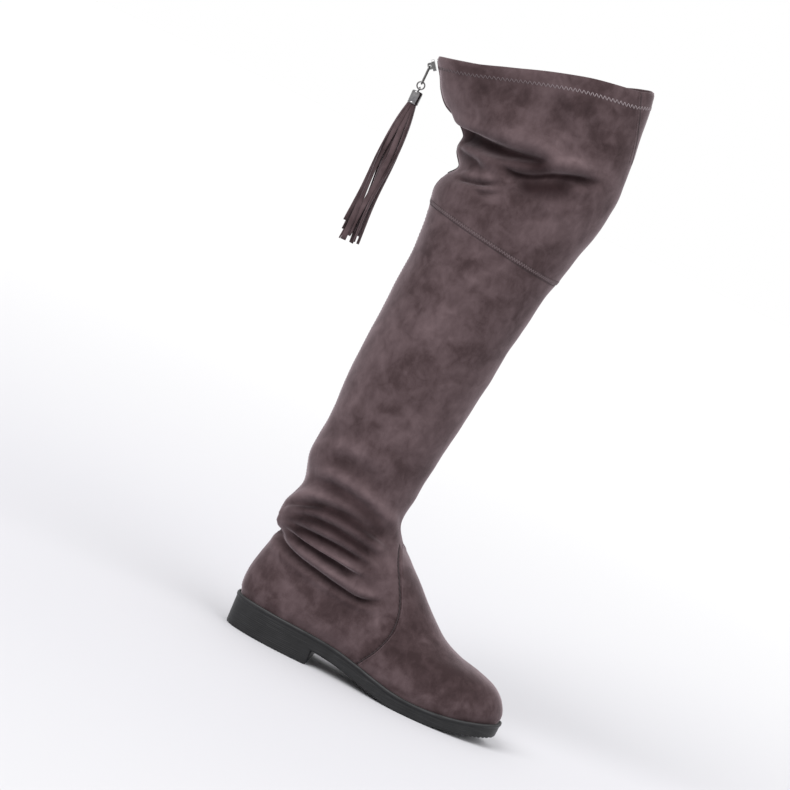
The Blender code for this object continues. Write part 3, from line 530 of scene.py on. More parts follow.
def fold_field():
    """Height and sag of all folds, how deep in a crease each point lies, which sets its painted shade, and
    how near a crest, which sets its painted highlight.
    """
    lift, drop, shade, crest_highlight = np.zeros((4,) + UP.shape)
    clear = clear_of_zips()
    for fold in FOLDS:
        for side in fold.side:
            places = smooth_line(unrolled(side, fold.line))
            gap, above, along, total = measure(side, places)
            fade = min(KNEE_FADE, total / KNEE_FADE_SHARE)
            start = ease(along, 0.0, fade) if abs(places[0, 0]) > NEAR_BACK else 1.0
            if places[0, 1] < KNEE - BELOW_KNEE:
                fade = min(ANKLE_FADE, total / ANKLE_FADE_SHARE)
                start = ease(along, -0.5 * fade, fade)
            ends = start * ease(total - along, 0.0, fade) * clear
            width = fold.width * (END_WIDTH + (1 - END_WIDTH) * ends)
            open_gap = np.where(above < 0, gap / OPEN_BELOW, gap)
            lift -= fold.depth * ends * hump(open_gap, width)
            lift += fold.crest * ends * hump(above - CREST_AT * width, CREST_WIDTH * width)
            lower = hump(above + LOWER_AT * width, LOWER_WIDTH * width)
            lift += LOWER_CREST * fold.crest * ends * lower
            drop += fold.sag * ends * hump(above - SAG_AT * width, SAG_AT * width)
            if fold.depth > 0:
                # Painted shade in the crease, and a painted highlight on the crest above it
                depth = ends * min(1.0, fold.depth / FULL_SHADE_DEPTH)
                shade = np.maximum(shade, depth * hump(above + SHADE_AT * width, SHADE_WIDTH * width))
                crest_highlight = np.maximum(crest_highlight, depth * hump(above - CREST_HIGHLIGHT_AT * width, width))
    lift = np.where(lift < 0, -DEEPEST * np.tanh(-lift / DEEPEST), lift)
    return lift, drop, shade, crest_highlight


def seam_station(heights):
    """Stations of the vamp seam at some heights."""
    inside = np.clip(heights, VAMP_SEAM[0].height, VAMP_SEAM[-1].height)
    return curve_through([s.height for s in VAMP_SEAM], [s.station for s in VAMP_SEAM], inside)


def vamp_line(ahead=0.0):
    """The vamp seam as close places, or a line a little ahead of it."""
    heights = np.linspace(VAMP_SEAM[0].height, VAMP_SEAM[-1].height, VAMP_PLACES)
    return list(zip(seam_station(heights) + ahead, heights))


def groove(seam, offset):
    """Depth of a seam's groove and strength of its dark line, by the distance from it."""
    return seam.depth * hump(offset, seam.width), seam.mark * hump(offset, seam.mark_width)


def lip(swelling, offset):
    """Cloth that swells beside a seam."""
    return swelling.rise * hump(offset - swelling.at, swelling.width)


def seam_field():
    """Steps of the panels and grooves of the seams, and a mark along each seam."""
    lift, mark = np.zeros((2,) + UP.shape)
    behind = STATION < seam_station(HEIGHT.ravel()).reshape(UP.shape)
    for side in (1, -1):
        gap, _, along, total = measure(side, smooth_line(unrolled(side, vamp_line())))
        here = ON_OUTER if side > 0 else ~ON_OUTER
        offset = np.where(behind, -gap, gap)
        within = np.where(UP < ANKLE + VAMP_OVER_ANKLE, 1.0, 0.0) * ease(total - along, 0.0, VAMP_END_FADE)
        lap = PANEL_LAP * ease(offset, -1.0, 1.0) * hump(offset, VAMP_LAP_WIDTH)
        cut, line = groove(VAMP_GROOVE, offset)
        lift += np.where(here, within * (lip(VAMP_LIP, np.abs(offset)) - cut + lap), 0.0)
        mark = np.maximum(mark, np.where(here, within * line, 0.0))
    counter = 1 - ease(FROM_BACK, *COUNTER_FADE)
    seamed = 1 - ease(HEIGHT, *BACK_SEAM_END)
    lift += COUNTER_LAP * counter * ease(UP - ANKLE, *COUNTER_STEP) + HEM_LAP * ease(UP - HEM, *HEM_STEP)
    lift += PANEL_LAP * lip(KNEE_LIP, UP - KNEE) + seamed * lip(BACK_LIP, FROM_BACK)
    lift -= EDGE_DRAW * ease(UP - COLLAR, *EDGE_DRAW_STEP)
    for seam, offset, share in ((ANKLE_GROOVE, UP - ANKLE, counter), (KNEE_GROOVE, UP - KNEE, 1.0),
                                (HEM_GROOVE, UP - HEM, 1.0), (BACK_GROOVE, FROM_BACK, seamed)):
        cut, line = groove(seam, offset)
        lift -= share * cut
        mark = np.maximum(mark, share * line)
    return lift, mark


def cloth_waver():
    """Slow unevenness of soft cloth, stronger over the knee, and a finer one for ragged nap edges."""
    waver, ragged = np.zeros((2,) + UP.shape)
    soft = FOOT_SOFT + SHAFT_SOFT * ease(UP - ANKLE, 0.0, SHAFT_SOFT_WITHIN)
    soft += KNEE_SOFT * ease(UP - KNEE, 0.0, KNEE_SOFT_WITHIN)
    for i, row in enumerate(LAST[:, :-1]):
        for j, place in enumerate(row):
            spot = Vector(place)
            waver[i, j] = sum(strength * noise.noise(spot / size) for strength, size in CLOTH_WAVER)
            ragged[i, j] = sum(strength * noise.noise(spot / size) for strength, size in NAP_RAGGED)
    waver[:, -1] = waver[:, 0]
    ragged[:, -1] = ragged[:, 0]
    return waver * soft, ragged


def nap_field(ragged):
    """Tone of all nap patches at every point."""
    field = np.zeros(UP.shape)
    for patch in NAP_PATCHES:
        middle, height = unrolled(1, [(patch.station, patch.height)])[0]
        reach = np.hypot((OUTER_RUN - middle) / patch.round, (UP - height) / patch.up)
        field += patch.tone * hump(reach * (1 + RAGGED_SHARE * ragged), 1.0)
    return np.clip(field, *NAP_LIMITS)


def dressed_skin():
    """Points of the finished upper, its painted crease shade and seam marks, and its nap tone with a painted
    highlight added on the fold crests.
    """
    lift, drop, shade, crest_highlight = fold_field()
    seam_lift, mark = seam_field()
    waver, ragged = cloth_waver()
    rise = lift + seam_lift + waver
    upward = unit(np.gradient(LAST, axis=0))
    points = LAST + outward(LAST) * rise[:, :, None] - upward * drop[:, :, None]
    stations, rises = zip(*COLLAR_WAVE)
    wave = curve_through(stations, rises, np.clip(STATION, stations[0], stations[-1]).ravel())
    near_side = ease(-ACROSS, *NEAR_SIDE)
    points[:, :, 2] += wave.reshape(UP.shape) * ease(UP - COLLAR, -COLLAR_WAVE_REACH, 0.0) * near_side
    far_side = hump(STATION - FAR_RIM_AT, FAR_RIM_WIDTH) * ease(ACROSS, *FAR_SIDE)
    points[:, :, 2] += FAR_RIM_RISE * far_side * ease(UP - COLLAR, -FAR_RIM_REACH, 0.0)
    points[:, -1] = points[:, 0]
    # Painted highlight on the fold crests, stronger at the ankle than at the knee, kept out of the painted
    # crease shade
    brushed = ANKLE_CREST_HIGHLIGHT + (KNEE_CREST_HIGHLIGHT - ANKLE_CREST_HIGHLIGHT) * ease(UP, KNEE - BELOW_KNEE, KNEE)
    return points, shade, mark, nap_field(ragged) + brushed * crest_highlight * (1 - shade)


SKIN, SHADE, MARK, NAP_WITH_PAINTED_LIGHT = dressed_skin()
SKIN_NORMALS = outward(SKIN)


def on_skin(around, up, lift=0.0):
    """Point and outward direction on the finished upper at an unrolled place."""
    run = OUTER_RUN if around > -ZIP_SLOT / 2 else INNER_RUN
    row = float(np.interp(up, ROWS, np.arange(len(ROWS))))
    low = min(int(row), len(ROWS) - 2)
    share = row - low
    point, normal = np.zeros((2, 3))
    for i, weight in ((low, 1 - share), (low + 1, share)):
        column = float(np.interp(around, run[i], np.arange(run.shape[1])))
        left = min(int(column), run.shape[1] - 2)
        part = column - left
        point += weight * ((1 - part) * SKIN[i, left] + part * SKIN[i, left + 1])
        normal += weight * ((1 - part) * SKIN_NORMALS[i, left] + part * SKIN_NORMALS[i, left + 1])
    normal = unit(normal)
    return point + lift * normal, normal


def placed(point):
    """A point from the tables in the boot's own frame, in metres."""
    return Vector(((point[0] - HEEL_CENTRE) * MM, point[1] * MM, point[2] * MM))


def shape_grid(points):
    """A flat grid moved onto rows and columns of points; each corner keeps its row and column."""
    count, across = points.shape[0] - 1, points.shape[1] - 1
    body = bmesh.new()
    bmesh.ops.create_grid(body, x_segments=across, y_segments=count, size=1.0)
    body.verts.layers.int.new("row")
    body.verts.layers.int.new("column")
    row = body.verts.layers.int["row"]
    column = body.verts.layers.int["column"]
    for vert in body.verts:
        vert[row] = round((vert.co.y + 1) / 2 * count)
        vert[column] = round((vert.co.x + 1) / 2 * across)
        vert.co = placed(points[vert[row], vert[column]])
    return body


def weld(body, distance=MERGE):
    """Join points that lie on one another."""
    bmesh.ops.remove_doubles(body, verts=body.verts, dist=distance)


def face_outward(body):
    """Turn all faces of a shape to its outside."""
    bmesh.ops.recalc_face_normals(body, faces=body.faces)


def only(kind, parts):
    """The points, edges or faces among parts."""
    return [part for part in parts if isinstance(part, kind)]


def merge_into(body, part):
    """Add one shape to another."""
    mesh = bpy.data.meshes.new("part")
    part.to_mesh(mesh)
    part.free()
    body.from_mesh(mesh)
    bpy.data.meshes.remove(mesh)


def make_piece(name, body, material, stands_for=(), rides="boot", smooth=True):
    """Turn a finished bmesh into a piece of the boot."""
    mesh = bpy.data.meshes.new(name)
    body.to_mesh(mesh)
    body.free()
    mesh.materials.append(material)
    if smooth:
        mesh.shade_smooth()
    piece = bpy.data.objects.new(name, mesh)
    bpy.context.collection.objects.link(piece)
    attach(piece, rides)
    if stands_for:
        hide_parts(*stands_for)
    return piece


def zip_rows(column, low, high):
    """Rows of the upper between the ends of a zip."""
    return [i for i, height in enumerate(HEIGHT[:, column]) if low <= height <= high]


BACK_ROWS = zip_rows(BACK_MIDDLE, BACK_ZIP_FOOT, 1e9)
INNER_ROWS = zip_rows(INNER_MIDDLE, INNER_ZIP_FOOT, INNER_ZIP_TOP)


def in_slot(rows, columns):
    """Whether a face of the skin, by the rows and columns of its corners, lies in a zip slot."""
    in_back = max(columns) <= BACK_COLUMNS[1] and min(rows) >= BACK_ROWS[0]
    in_inner = min(columns) >= INNER_COLUMNS[0] and max(columns) <= INNER_COLUMNS[1]
    return in_back or (in_inner and INNER_ROWS[0] <= min(rows) < INNER_ROWS[-1])


def build_skin(material):
    """The suede outside, turned over the collar and into both zip slots."""
    upward = unit(SKIN[-1] - SKIN[EDGE_ROW])
    edge = SKIN_NORMALS[EDGE_ROW]
    rows = list(SKIN)
    for turn in COLLAR_TURNS:
        rows.append(SKIN[-1] + WALL / 2 * ((math.cos(turn) - 1) * edge + math.sin(turn) * upward))
    for depth in TURNED_HEM_DEPTHS:
        i = int(np.argmin(np.abs(ROWS - COLLAR + depth)))
        rows.append(SKIN[i] - WALL * SKIN_NORMALS[i])
    body = shape_grid(np.array(rows))
    # crease holds the painted shade of the folds; nap holds the nap's own tone with painted highlights and
    # painted shade added
    for name in ("crease", "seam", "nap"):
        body.verts.layers.float.new(name)
    row, column = (body.verts.layers.int[name] for name in ("row", "column"))
    crease, seam, nap = (body.verts.layers.float[name] for name in ("crease", "seam", "nap"))
    for vert in body.verts:
        i = min(vert[row], len(ROWS) - 1)
        vert[crease] = SHADE[i, vert[column]]
        vert[nap] = NAP_WITH_PAINTED_LIGHT[i, vert[column]]
        vert[seam] = MARK[i, vert[column]] if vert[row] < len(ROWS) else 0.0
    opened = [f for f in body.faces if in_slot([v[row] for v in f.verts], [v[column] for v in f.verts])]
    bmesh.ops.delete(body, geom=opened, context="FACES")
    weld(body)
    body.normal_update()
    ends = (0, len(rows) - 1)
    edges = [e for e in body.edges if e.is_boundary and not all(v[row] in ends for v in e.verts)]
    turned = bmesh.ops.extrude_edge_only(body, edges=edges)["geom"]
    for vert in only(bmesh.types.BMVert, turned):
        vert.co -= vert.normal * WALL * MM
    bmesh.ops.recalc_face_normals(body, faces=only(bmesh.types.BMFace, turned))
    make_piece("upper_skin", body, material, ["upper"])


def build_lining(material):
    """The cloth inside, from the turned collar down to the footbed."""
    rows = [i for i in range(0, len(ROWS), 2) if 1.0 < ROWS[i] < COLLAR - LINING_TOP]
    points = (SKIN - (WALL + LINING_GAP) * SKIN_NORMALS)[rows][:, ::2]
    points[:, -1] = points[:, 0]
    body = shape_grid(points)
    weld(body)
    bmesh.ops.reverse_faces(body, faces=body.faces)
    make_piece("lining", body, material, ["upper"])


# Bead of the sole's lip from the inside outward and down: distance outside the upper and rise over its edge
SOLE_LIP = np.array((
    (-1.5, -0.3), (1.0, -0.4), (1.4, 0.4), (2.2, 1.0), (3.1, 0.6), (3.5, -0.7), (3.3, -2.0), (2.7, -2.8)))
LIP_FOOT = 2.8
LIP_ROWS = 24
# Distance of the sole's side outside the upper by its share of the way down, and of the heel's by its height
SIDE_OUT = ((0.0, 0.1, 0.85, 0.95, 1.0), (2.5, 2.7, 2.4, 2.1, 1.4))
HEEL_OUT = ((0.0, 0.5, 1.2, HEEL_TOP), (0.9, 1.5, 1.7, 2.4))
SEAT_DEPTH = 1.6
SEAT_SHARES = (1.0, 0.6, 0.2)
BOTTOM_SHARES = (0.03, 0.2, 0.45, 0.7, 0.9, 1.0)
SOLE_END_DRAW = 0.04
SOLE_FRONT = 262.0
SOLE_COLUMNS = 640
DENSE_POINTS = 2400
RIB_PITCH = 1.6
RIB_RELIEF = 0.05
TREAD_PITCH = 3.2
TREAD_DEPTH = 0.7
TREAD_START = (138.0, 148.0)
TREAD_SLOPE = (0.1, 0.6)
# Where ribs end and tread begins: by the share of the way down the sole's side, and by height on the heel
SIDE_RIB_END = (0.9, 0.97)
SIDE_TREAD = (0.9, 0.95)
HEEL_RIB_END = (1.0, 2.0)
HEEL_TREAD = (0.6, 1.6)
# Rubber paler on the bead as a painted highlight, and rubbed paler near the floor
BEAD_HIGHLIGHT_WIDTH = 0.8
SCUFF = 0.5
SCUFF_HEIGHT = 1.4
SOLE_MERGE = 2e-6
WALL_SHARES = np.linspace(0.0, 1.0, 36)[1:]
HEEL_HEIGHTS = np.linspace(HEEL_TOP, 0.0, 58)
HEEL_BOTTOM_SHARES = np.linspace(0.03, 1.0, 60)
BREAST_STEPS = 60
BREAST_GAP = 20.0


def even_loop(loop, count):
    """Points evenly spaced round a closed loop given as a dense ring."""
    closed = np.concatenate([loop, loop[:1]])
    run = run_along(closed[:, :2])
    return at_run(run, closed, np.linspace(0.0, run[-1], count, endpoint=False))


def plan_offset(ring, distance):
    """A ring moved outward, level with itself."""
    around = np.roll(ring, -1, axis=0) - np.roll(ring, 1, axis=0)
    return ring + distance * unit(np.stack([around[:, 1], -around[:, 0], np.zeros(len(ring))], axis=1))


def rib(place):
    """Fine ribs round the side of the sole."""
    return RIB_RELIEF * np.sin(2 * np.pi * place / RIB_PITCH)


def tread(station):
    """How far the cross grooves of the tread cut into the sole."""
    return TREAD_DEPTH * ease(np.sin(2 * np.pi * station / TREAD_PITCH), *TREAD_SLOPE)


def closed_grid(rows):
    """A welded tube through closed rows of points."""
    rows = np.array(rows)
    body = shape_grid(np.concatenate([rows, rows[:, :1]], axis=1))
    weld(body, SOLE_MERGE)
    return body


def toward_middle(ring, share):
    """A ring of the sole drawn in toward its middle line, where both sides meet."""
    middle_y = np.interp(ring[:, 0], [0, SWING_START, SOLE_FRONT], [0.0, 0.0, TOE_SWING])
    drawn = ring.copy()
    drawn[:, 0] += (BALL_AT - ring[:, 0]) * SOLE_END_DRAW * share
    drawn[:, 1] += (middle_y - ring[:, 1]) * share
    if share == 1.0:
        drawn = (drawn + np.roll(drawn[::-1], 1, axis=0)) / 2
    return drawn


def build_sole(material):
    """Unit sole: seat, beaded lip, ribbed side, cross tread, and the heel with the same ribs and tread."""
    dense = foot_loop(FOOT_SECTIONS[0], np.linspace(0.0, 2 * np.pi, DENSE_POINTS, endpoint=False))
    edge = even_loop(dense, SOLE_COLUMNS)
    rows = []
    seat = plan_offset(edge, SOLE_LIP[0, 0])
    for share in SEAT_SHARES:
        ring = toward_middle(seat, share)
        ring[:, 2] = feather(ring[:, 0]) - SEAT_DEPTH
        rows.append(ring)
    places = range(len(SOLE_LIP))
    for out, rise in curve_through(places, SOLE_LIP, np.linspace(0, places[-1], LIP_ROWS)):
        ring = plan_offset(edge, out)
        ring[:, 2] = feather(ring[:, 0]) + rise
        rows.append(ring)
    side = plan_offset(edge, 1.0) - edge
    height = feather(edge[:, 0]) - LIP_FOOT - underside(edge[:, 0])
    for share in WALL_SHARES:
        out = np.interp(share, *SIDE_OUT) + rib(share * height) * (1 - ease(share, *SIDE_RIB_END))
        ring = edge + side * out[:, None]
        top = feather(ring[:, 0]) - LIP_FOOT
        ring[:, 2] = top + (underside(ring[:, 0]) - top) * share
        ring[:, 2] += tread(ring[:, 0]) * ease(edge[:, 0], *TREAD_START) * ease(share, *SIDE_TREAD)
        rows.append(ring)
    rim = rows[-1]
    for share in BOTTOM_SHARES:
        ring = toward_middle(rim, share)
        ring[:, 2] = underside(ring[:, 0]) + tread(ring[:, 0]) * ease(ring[:, 0], *TREAD_START)
        rows.append(ring)
    body = closed_grid(rows)
    merge_into(body, heel_part(edge))
    face_outward(body)
    places = np.array([v.co for v in body.verts]) / MM
    # The bead gets a painted highlight and the rubber near the floor real scuffing, both kept as the worn
    # value
    bead = hump(places[:, 2] - feather(places[:, 0] + HEEL_CENTRE), BEAD_HIGHLIGHT_WIDTH)
    scuff = SCUFF * hump(places[:, 2], SCUFF_HEIGHT)
    worn = body.verts.layers.float.new("worn")
    for vert, value in zip(body.verts, np.maximum(bead, scuff)):
        vert[worn] = value
    make_piece("ribbed_sole", body, material, ["outsole"])


def heel_part(edge):
    """The heel under the sole, ribbed all round, with cross tread below."""
    inside = edge[edge[:, 0] <= HEEL_LENGTH]
    jumps = np.diff(inside[:, 1]) > BREAST_GAP
    inside = np.roll(inside, -(int(np.argmax(jumps)) + 1) if jumps.any() else 0, axis=0)
    breast_y = np.linspace(inside[-1, 1], inside[0, 1], BREAST_STEPS)[1:-1]
    breast = np.stack([np.full(len(breast_y), HEEL_LENGTH), breast_y, np.zeros(len(breast_y))], axis=1)
    loop = np.concatenate([inside, breast])
    rows = []
    for height in HEEL_HEIGHTS:
        ring = plan_offset(loop, np.interp(height, *HEEL_OUT) + rib(height) * ease(height, *HEEL_RIB_END))
        ring[:, 2] = height + tread(ring[:, 0]) * (1 - ease(height, *HEEL_TREAD))
        rows.append(ring)
    rim = rows[-1]
    centre = rim[:, :2].mean(axis=0)
    for share in HEEL_BOTTOM_SHARES:
        ring = rim.copy()
        ring[:, :2] = rim[:, :2] + (centre - rim[:, :2]) * share
        ring[:, 2] = tread(ring[:, 0])
        rows.append(ring)
    heel = closed_grid(rows)
    bmesh.ops.holes_fill(heel, edges=heel.edges)
    return heel


def build_rounded(name, node, material, width):
    """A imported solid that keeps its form, with its edges rounded off."""
    body = bmesh.new()
    body.from_mesh(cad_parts[node].data)
    weld(body, 1e-5)
    bmesh.ops.dissolve_limit(body, angle_limit=math.radians(4), verts=body.verts, edges=body.edges)
    piece = make_piece(name, body, material, [node], smooth=False)
    bevel = piece.modifiers.new("edge", "BEVEL")
    bevel.width = width * MM
    bevel.segments = 2
    bevel.limit_method = "ANGLE"
    bevel.harden_normals = True


BEAD_GROUP = 60
COIL_PITCH = 1.25
COIL_BAR = (1.15, 0.48, 0.75)
COIL_START = 0.8
COIL_ENDS = 1.5
COIL_ASIDE = 0.85
COIL_RISE = 0.1
COIL_LEAN = 0.12
TAPE_STEP = 1.5
TAPE_PROFILE = ((-2.95, -1.35), (-2.2, -0.95), (-0.9, -0.9), (0.9, -0.9), (2.2, -0.95), (2.95, -1.35))


def bead_place(centre, along, out, half_length, half_width, half_height):
    """Place and size of a small rounded bar, lying along one direction."""
    along = Vector(along).normalized()
    out = Vector(out)
    out = (out - along * out.dot(along)).normalized()
    turn = Matrix((along, out.cross(along), out)).transposed().to_4x4()
    size = Matrix.Diagonal((half_length * MM, half_width * MM, half_height * MM, 1.0))
    return Matrix.Translation(centre) @ turn @ size @ Matrix.Rotation(math.pi / 2, 4, "Y")


def join_beads(places):
    """All the small bars of one piece in one mesh, joined in groups."""
    body = bmesh.new()
    for first in range(0, len(places), BEAD_GROUP):
        group = bmesh.new()
        for place in places[first:first + BEAD_GROUP]:
            bmesh.ops.create_uvsphere(group, u_segments=6, v_segments=5, radius=1.0, matrix=place)
        merge_into(body, group)
    return body


def build_zip(name, rows, columns, tape, coil, node):
    """Woven tape with a row of interlocked coil turns along its middle."""
    left, right = SKIN[rows, columns[0]], SKIN[rows, columns[1]]
    middle = (left + right) / 2
    out = SKIN_NORMALS[rows, columns[0]] + SKIN_NORMALS[rows, columns[1]]
    run = run_along(middle)

    def directions(at):
        """Middle, across and out directions of the slot at a distance along it."""
        side = unit(at_run(run, right - left, at))
        normal = at_run(run, out, at)
        return at_run(run, middle, at), side, unit(normal - side * (normal @ side))

    strips = []
    for at in np.linspace(0.0, run[-1], int(run[-1] / TAPE_STEP)):
        point, side, normal = directions(at)
        strips.append([point + side * x + normal * z for x, z in TAPE_PROFILE])
    make_piece(name + "_tape", shape_grid(np.array(strips)), tape, [node])
    turns = []
    for k in range(int((run[-1] - COIL_ENDS) / COIL_PITCH)):
        for half in (-1, 1):
            point, side, normal = directions(COIL_START + (k + 0.25 * (1 + half)) * COIL_PITCH)
            centre = placed(point + side * (COIL_ASIDE * half) + normal * COIL_RISE)
            lean = side + COIL_LEAN * half * np.cross(normal, side)
            turns.append(bead_place(centre, lean, normal, *COIL_BAR))
    make_piece(name + "_coil", join_beads(turns), coil, [node])


# Stitches: distance from one to the next, half length, half thickness and the turn of a zigzag to each side
Stitch = namedtuple("Stitch", "pitch half thick sway")
COLLAR_ZIGZAG = Stitch(1.95, 1.96, 0.32, 1.05)
KNEE_ZIGZAG = Stitch(1.3, 1.7, 0.27, 1.18)
KNEE_DASH = Stitch(2.6, 0.9, 0.34, 0.0)
# Dark beads as painted shade in the needle holes above the knee zigzag
NEEDLE_HOLE_SHADE = Stitch(2.6, 0.55, 0.3, 0.0)
BACK_STITCH = Stitch(2.8, 1.1, 0.24, 0.0)
COUNTER_STITCH = Stitch(2.6, 1.05, 0.24, 0.0)
ZIP_STITCH = Stitch(2.8, 1.1, 0.25, 0.0)
ZIP_END_STITCH = Stitch(2.6, 1.0, 0.25, 0.0)
STITCH_RISE = 0.1
STITCH_FLAT = 0.8
# Distances of the rows from the seam or zip beside them
BACK_STITCH_ASIDE = 2.9
COUNTER_STITCH_ASIDE = 2.7
BACK_ZIP_ASIDE = 5.2
INNER_ZIP_ASIDE = 5.0
ZIP_END_BELOW = 3.0


def sewn_row(places, stitch):
    """Stitches along unrolled places."""
    places = smooth_line(np.array(places, float), 2.0)
    run = run_along(places)
    beads = []
    for k in range(int(run[-1] / stitch.pitch)):
        at = (k + 0.5) * stitch.pitch
        spot = at_run(run, places, at)
        lead = unit(at_run(run, places, at + 0.5) - spot)
        turn = stitch.sway if k % 2 else -stitch.sway
        lead = np.array([lead[0] * math.cos(turn) - lead[1] * math.sin(turn),
                         lead[0] * math.sin(turn) + lead[1] * math.cos(turn)]) * stitch.half
        along = on_skin(*(spot + lead))[0] - on_skin(*(spot - lead))[0]
        point, normal = on_skin(*spot, STITCH_RISE)
        flat = stitch.thick * STITCH_FLAT
        beads.append(bead_place(placed(point), along, normal, stitch.half, stitch.thick, flat))
    return beads


def row_round(seam, above, clear):
    """Places all round the upper a little above a seam, clear of the back."""
    total = float(ROUND[int(np.argmin(np.abs(ROWS - seam))), 0])
    return [(around, seam + above) for around in np.linspace(clear, total - clear, 90)]


def row_up(around, low, high, count):
    """Places straight up the upper at one distance round."""
    return [(around, up) for up in np.linspace(low, high, count)]


def back_rows():
    """Rows of stitches beside the back seam, round the back zip and beside the inner zip."""
    foot = ROWS[BACK_ROWS[0]]
    below = foot - ZIP_END_BELOW
    rows = [(row_up(BACK_STITCH_ASIDE, ANKLE + 3, KNEE - 4, 60), BACK_STITCH),
            (row_up(BACK_STITCH_ASIDE, KNEE + 4, foot - 5, 20), BACK_STITCH),
            ([(around, below) for around in np.linspace(-5.0, 5.0, 12)], ZIP_END_STITCH)]
    for side in (1, -1):
        beside = [(INNER_RUN[i, INNER_MIDDLE] + INNER_ZIP_ASIDE * side, ROWS[i]) for i in INNER_ROWS[::4]]
        rows += [(row_up(COUNTER_STITCH_ASIDE * side, 6.0, ANKLE - 3, 30), COUNTER_STITCH),
                 (row_up(BACK_ZIP_ASIDE * side, below, HEM - 2, 40), ZIP_STITCH),
                 (beside, ZIP_STITCH)]
    return rows


def build_stitches(name, rows, material):
    """Rows of stitches as one piece."""
    beads = [bead for places, stitch in rows for bead in sewn_row(places, stitch)]
    make_piece(name, join_beads(beads), material)


# Dark line in a seam and the rolled edge of cloth beside it
SEAM_RADIUS = 0.42
SEAM_SUNK = 0.05
EDGE_RADIUS = 0.6
VAMP_EDGE_SUNK = 0.25
FRONT_EDGE_SUNK = 0.2
CORD_SIDES = 6


def build_seam_cord(name, side, line, radius, sunk, material):
    """A thin line of thread or cloth sunk into a seam."""
    places = smooth_line(unrolled(side, line), 2.0)
    spots = np.array([on_skin(*place)[0] for place in places])
    rows = []
    for k, place in enumerate(places):
        point, normal = on_skin(*place, -sunk)
        lead = unit(spots[min(len(spots) - 1, k + 1)] - spots[max(0, k - 1)])
        aside = np.cross(lead, normal)
        turns = np.linspace(0.0, 2 * np.pi, CORD_SIDES + 1)
        rows.append([point + radius * (math.cos(t) * aside + math.sin(t) * normal) for t in turns])
    body = shape_grid(np.array(rows))
    weld(body, 1e-7)
    bmesh.ops.holes_fill(body, edges=body.edges)
    face_outward(body)
    make_piece(name, body, material)


def wire_loop(body, centre, across, width, length, wire, steps, sides=12):
    """A closed upright wire hoop with round ends: two straight runs and two half turns."""
    across, down = Vector(across), Vector((0, 0, -1))
    flat = across.cross(down)
    straight = (length - width) / 2
    start = centre + across * (width / 2) - down * straight
    turn = Matrix((across, flat, down)).transposed().to_4x4()
    ring = bmesh.ops.create_circle(
        body, segments=sides, radius=wire, cap_ends=False, matrix=Matrix.Translation(start) @ turn)
    loop = ring["verts"] + list({e for v in ring["verts"] for e in v.link_edges})
    for way in (1, -1):
        if straight > MERGE:
            grown = bmesh.ops.extrude_edge_only(body, edges=only(bmesh.types.BMEdge, loop))
            verts = only(bmesh.types.BMVert, grown["geom"])
            bmesh.ops.translate(body, verts=verts, vec=down * (2 * straight * way))
            loop = verts + list({e for v in verts for e in v.link_edges if all(o in verts for o in e.verts)})
        pivot = centre + down * (straight * way)
        spun = bmesh.ops.spin(
            body, geom=loop, cent=pivot, axis=flat, angle=math.pi, steps=steps, use_merge=False)
        loop = spun["geom_last"]
    weld(body, 2 * MERGE)
    face_outward(body)


# Hoops: the solid each stands for, what it moves with, the direction it is flat in, its wire and round steps
Hoop = namedtuple("Hoop", "name node rides across wire steps finish")
ALONG_BOOT, ACROSS_BOOT = (1, 0, 0), (0, 1, 0)
PULL_WIRE = 0.8 * MM
RING_WIRE = 0.65 * MM
HOOPS = [
    Hoop("back_pull_wire", "back_zip_pull", "tassel_pull", ACROSS_BOOT, PULL_WIRE, 14, "pull_metal"),
    Hoop("inner_pull_wire", "inner_zip_pull", "inner_pull", ALONG_BOOT, PULL_WIRE, 14, "inner_pull_metal"),
    Hoop("ring_wire", "pull_ring", "tassel_pull", ALONG_BOOT, RING_WIRE, 18, "ring_metal"),
]


def build_hoop(hoop, material):
    """A wire hoop as wide and as long as the solid it stands for."""
    low, high = (Vector(corner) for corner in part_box(hoop.node))
    size = high - low
    width = abs(size.dot(Vector(hoop.across))) - 2 * hoop.wire
    body = bmesh.new()
    wire_loop(body, (low + high) / 2, hoop.across, width, size.z - 2 * hoop.wire, hoop.wire, hoop.steps)
    make_piece(hoop.name, body, material, [hoop.node], hoop.rides)


# Outline of the tassel's cap from its crown down and back up inside, as distance from the middle and height
CAP_OUTLINE = (
    (0.0, 12.0), (3.6, 12.0), (4.4, 11.7), (4.85, 11.0), (4.9, 10.2), (4.9, 2.2), (4.65, 2.0), (4.65, 1.6),
    (4.9, 1.4), (4.9, 0.3), (4.6, 0.0), (4.1, 0.0), (4.0, 10.8), (0.0, 11.0))
CAP_CROWN = 12.0
CAP_STEPS = 36
EYE_RISE = 1.8
EYE_WIDTH = 4.0 * MM
EYE_WIRE = 0.65 * MM


def cap_foot():
    """Middle of the cap's lower rim."""
    low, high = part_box("tassel_cap")
    return Vector(((low[0] + high[0]) / 2, (low[1] + high[1]) / 2, low[2]))


def build_cap(material):
    """Turned metal cap with a groove above its rim and a wire eye on its crown."""
    foot = cap_foot()
    body = bmesh.new()
    verts = [body.verts.new(foot + Vector((radius, 0, height)) * MM) for radius, height in CAP_OUTLINE]
    edges = [body.edges.new(pair) for pair in zip(verts[:-1], verts[1:])]
    bmesh.ops.spin(body, geom=verts + edges, cent=foot, axis=(0, 0, 1), angle=2 * math.pi, steps=CAP_STEPS,
                   use_merge=True)
    eye = foot + Vector((0, 0, CAP_CROWN + EYE_RISE)) * MM
    wire_loop(body, eye, ACROSS_BOOT, EYE_WIDTH, EYE_WIDTH, EYE_WIRE, steps=12)
    weld(body)
    face_outward(body)
    make_piece("cap_turned", body, material, ["tassel_cap"], "tassel_pull")


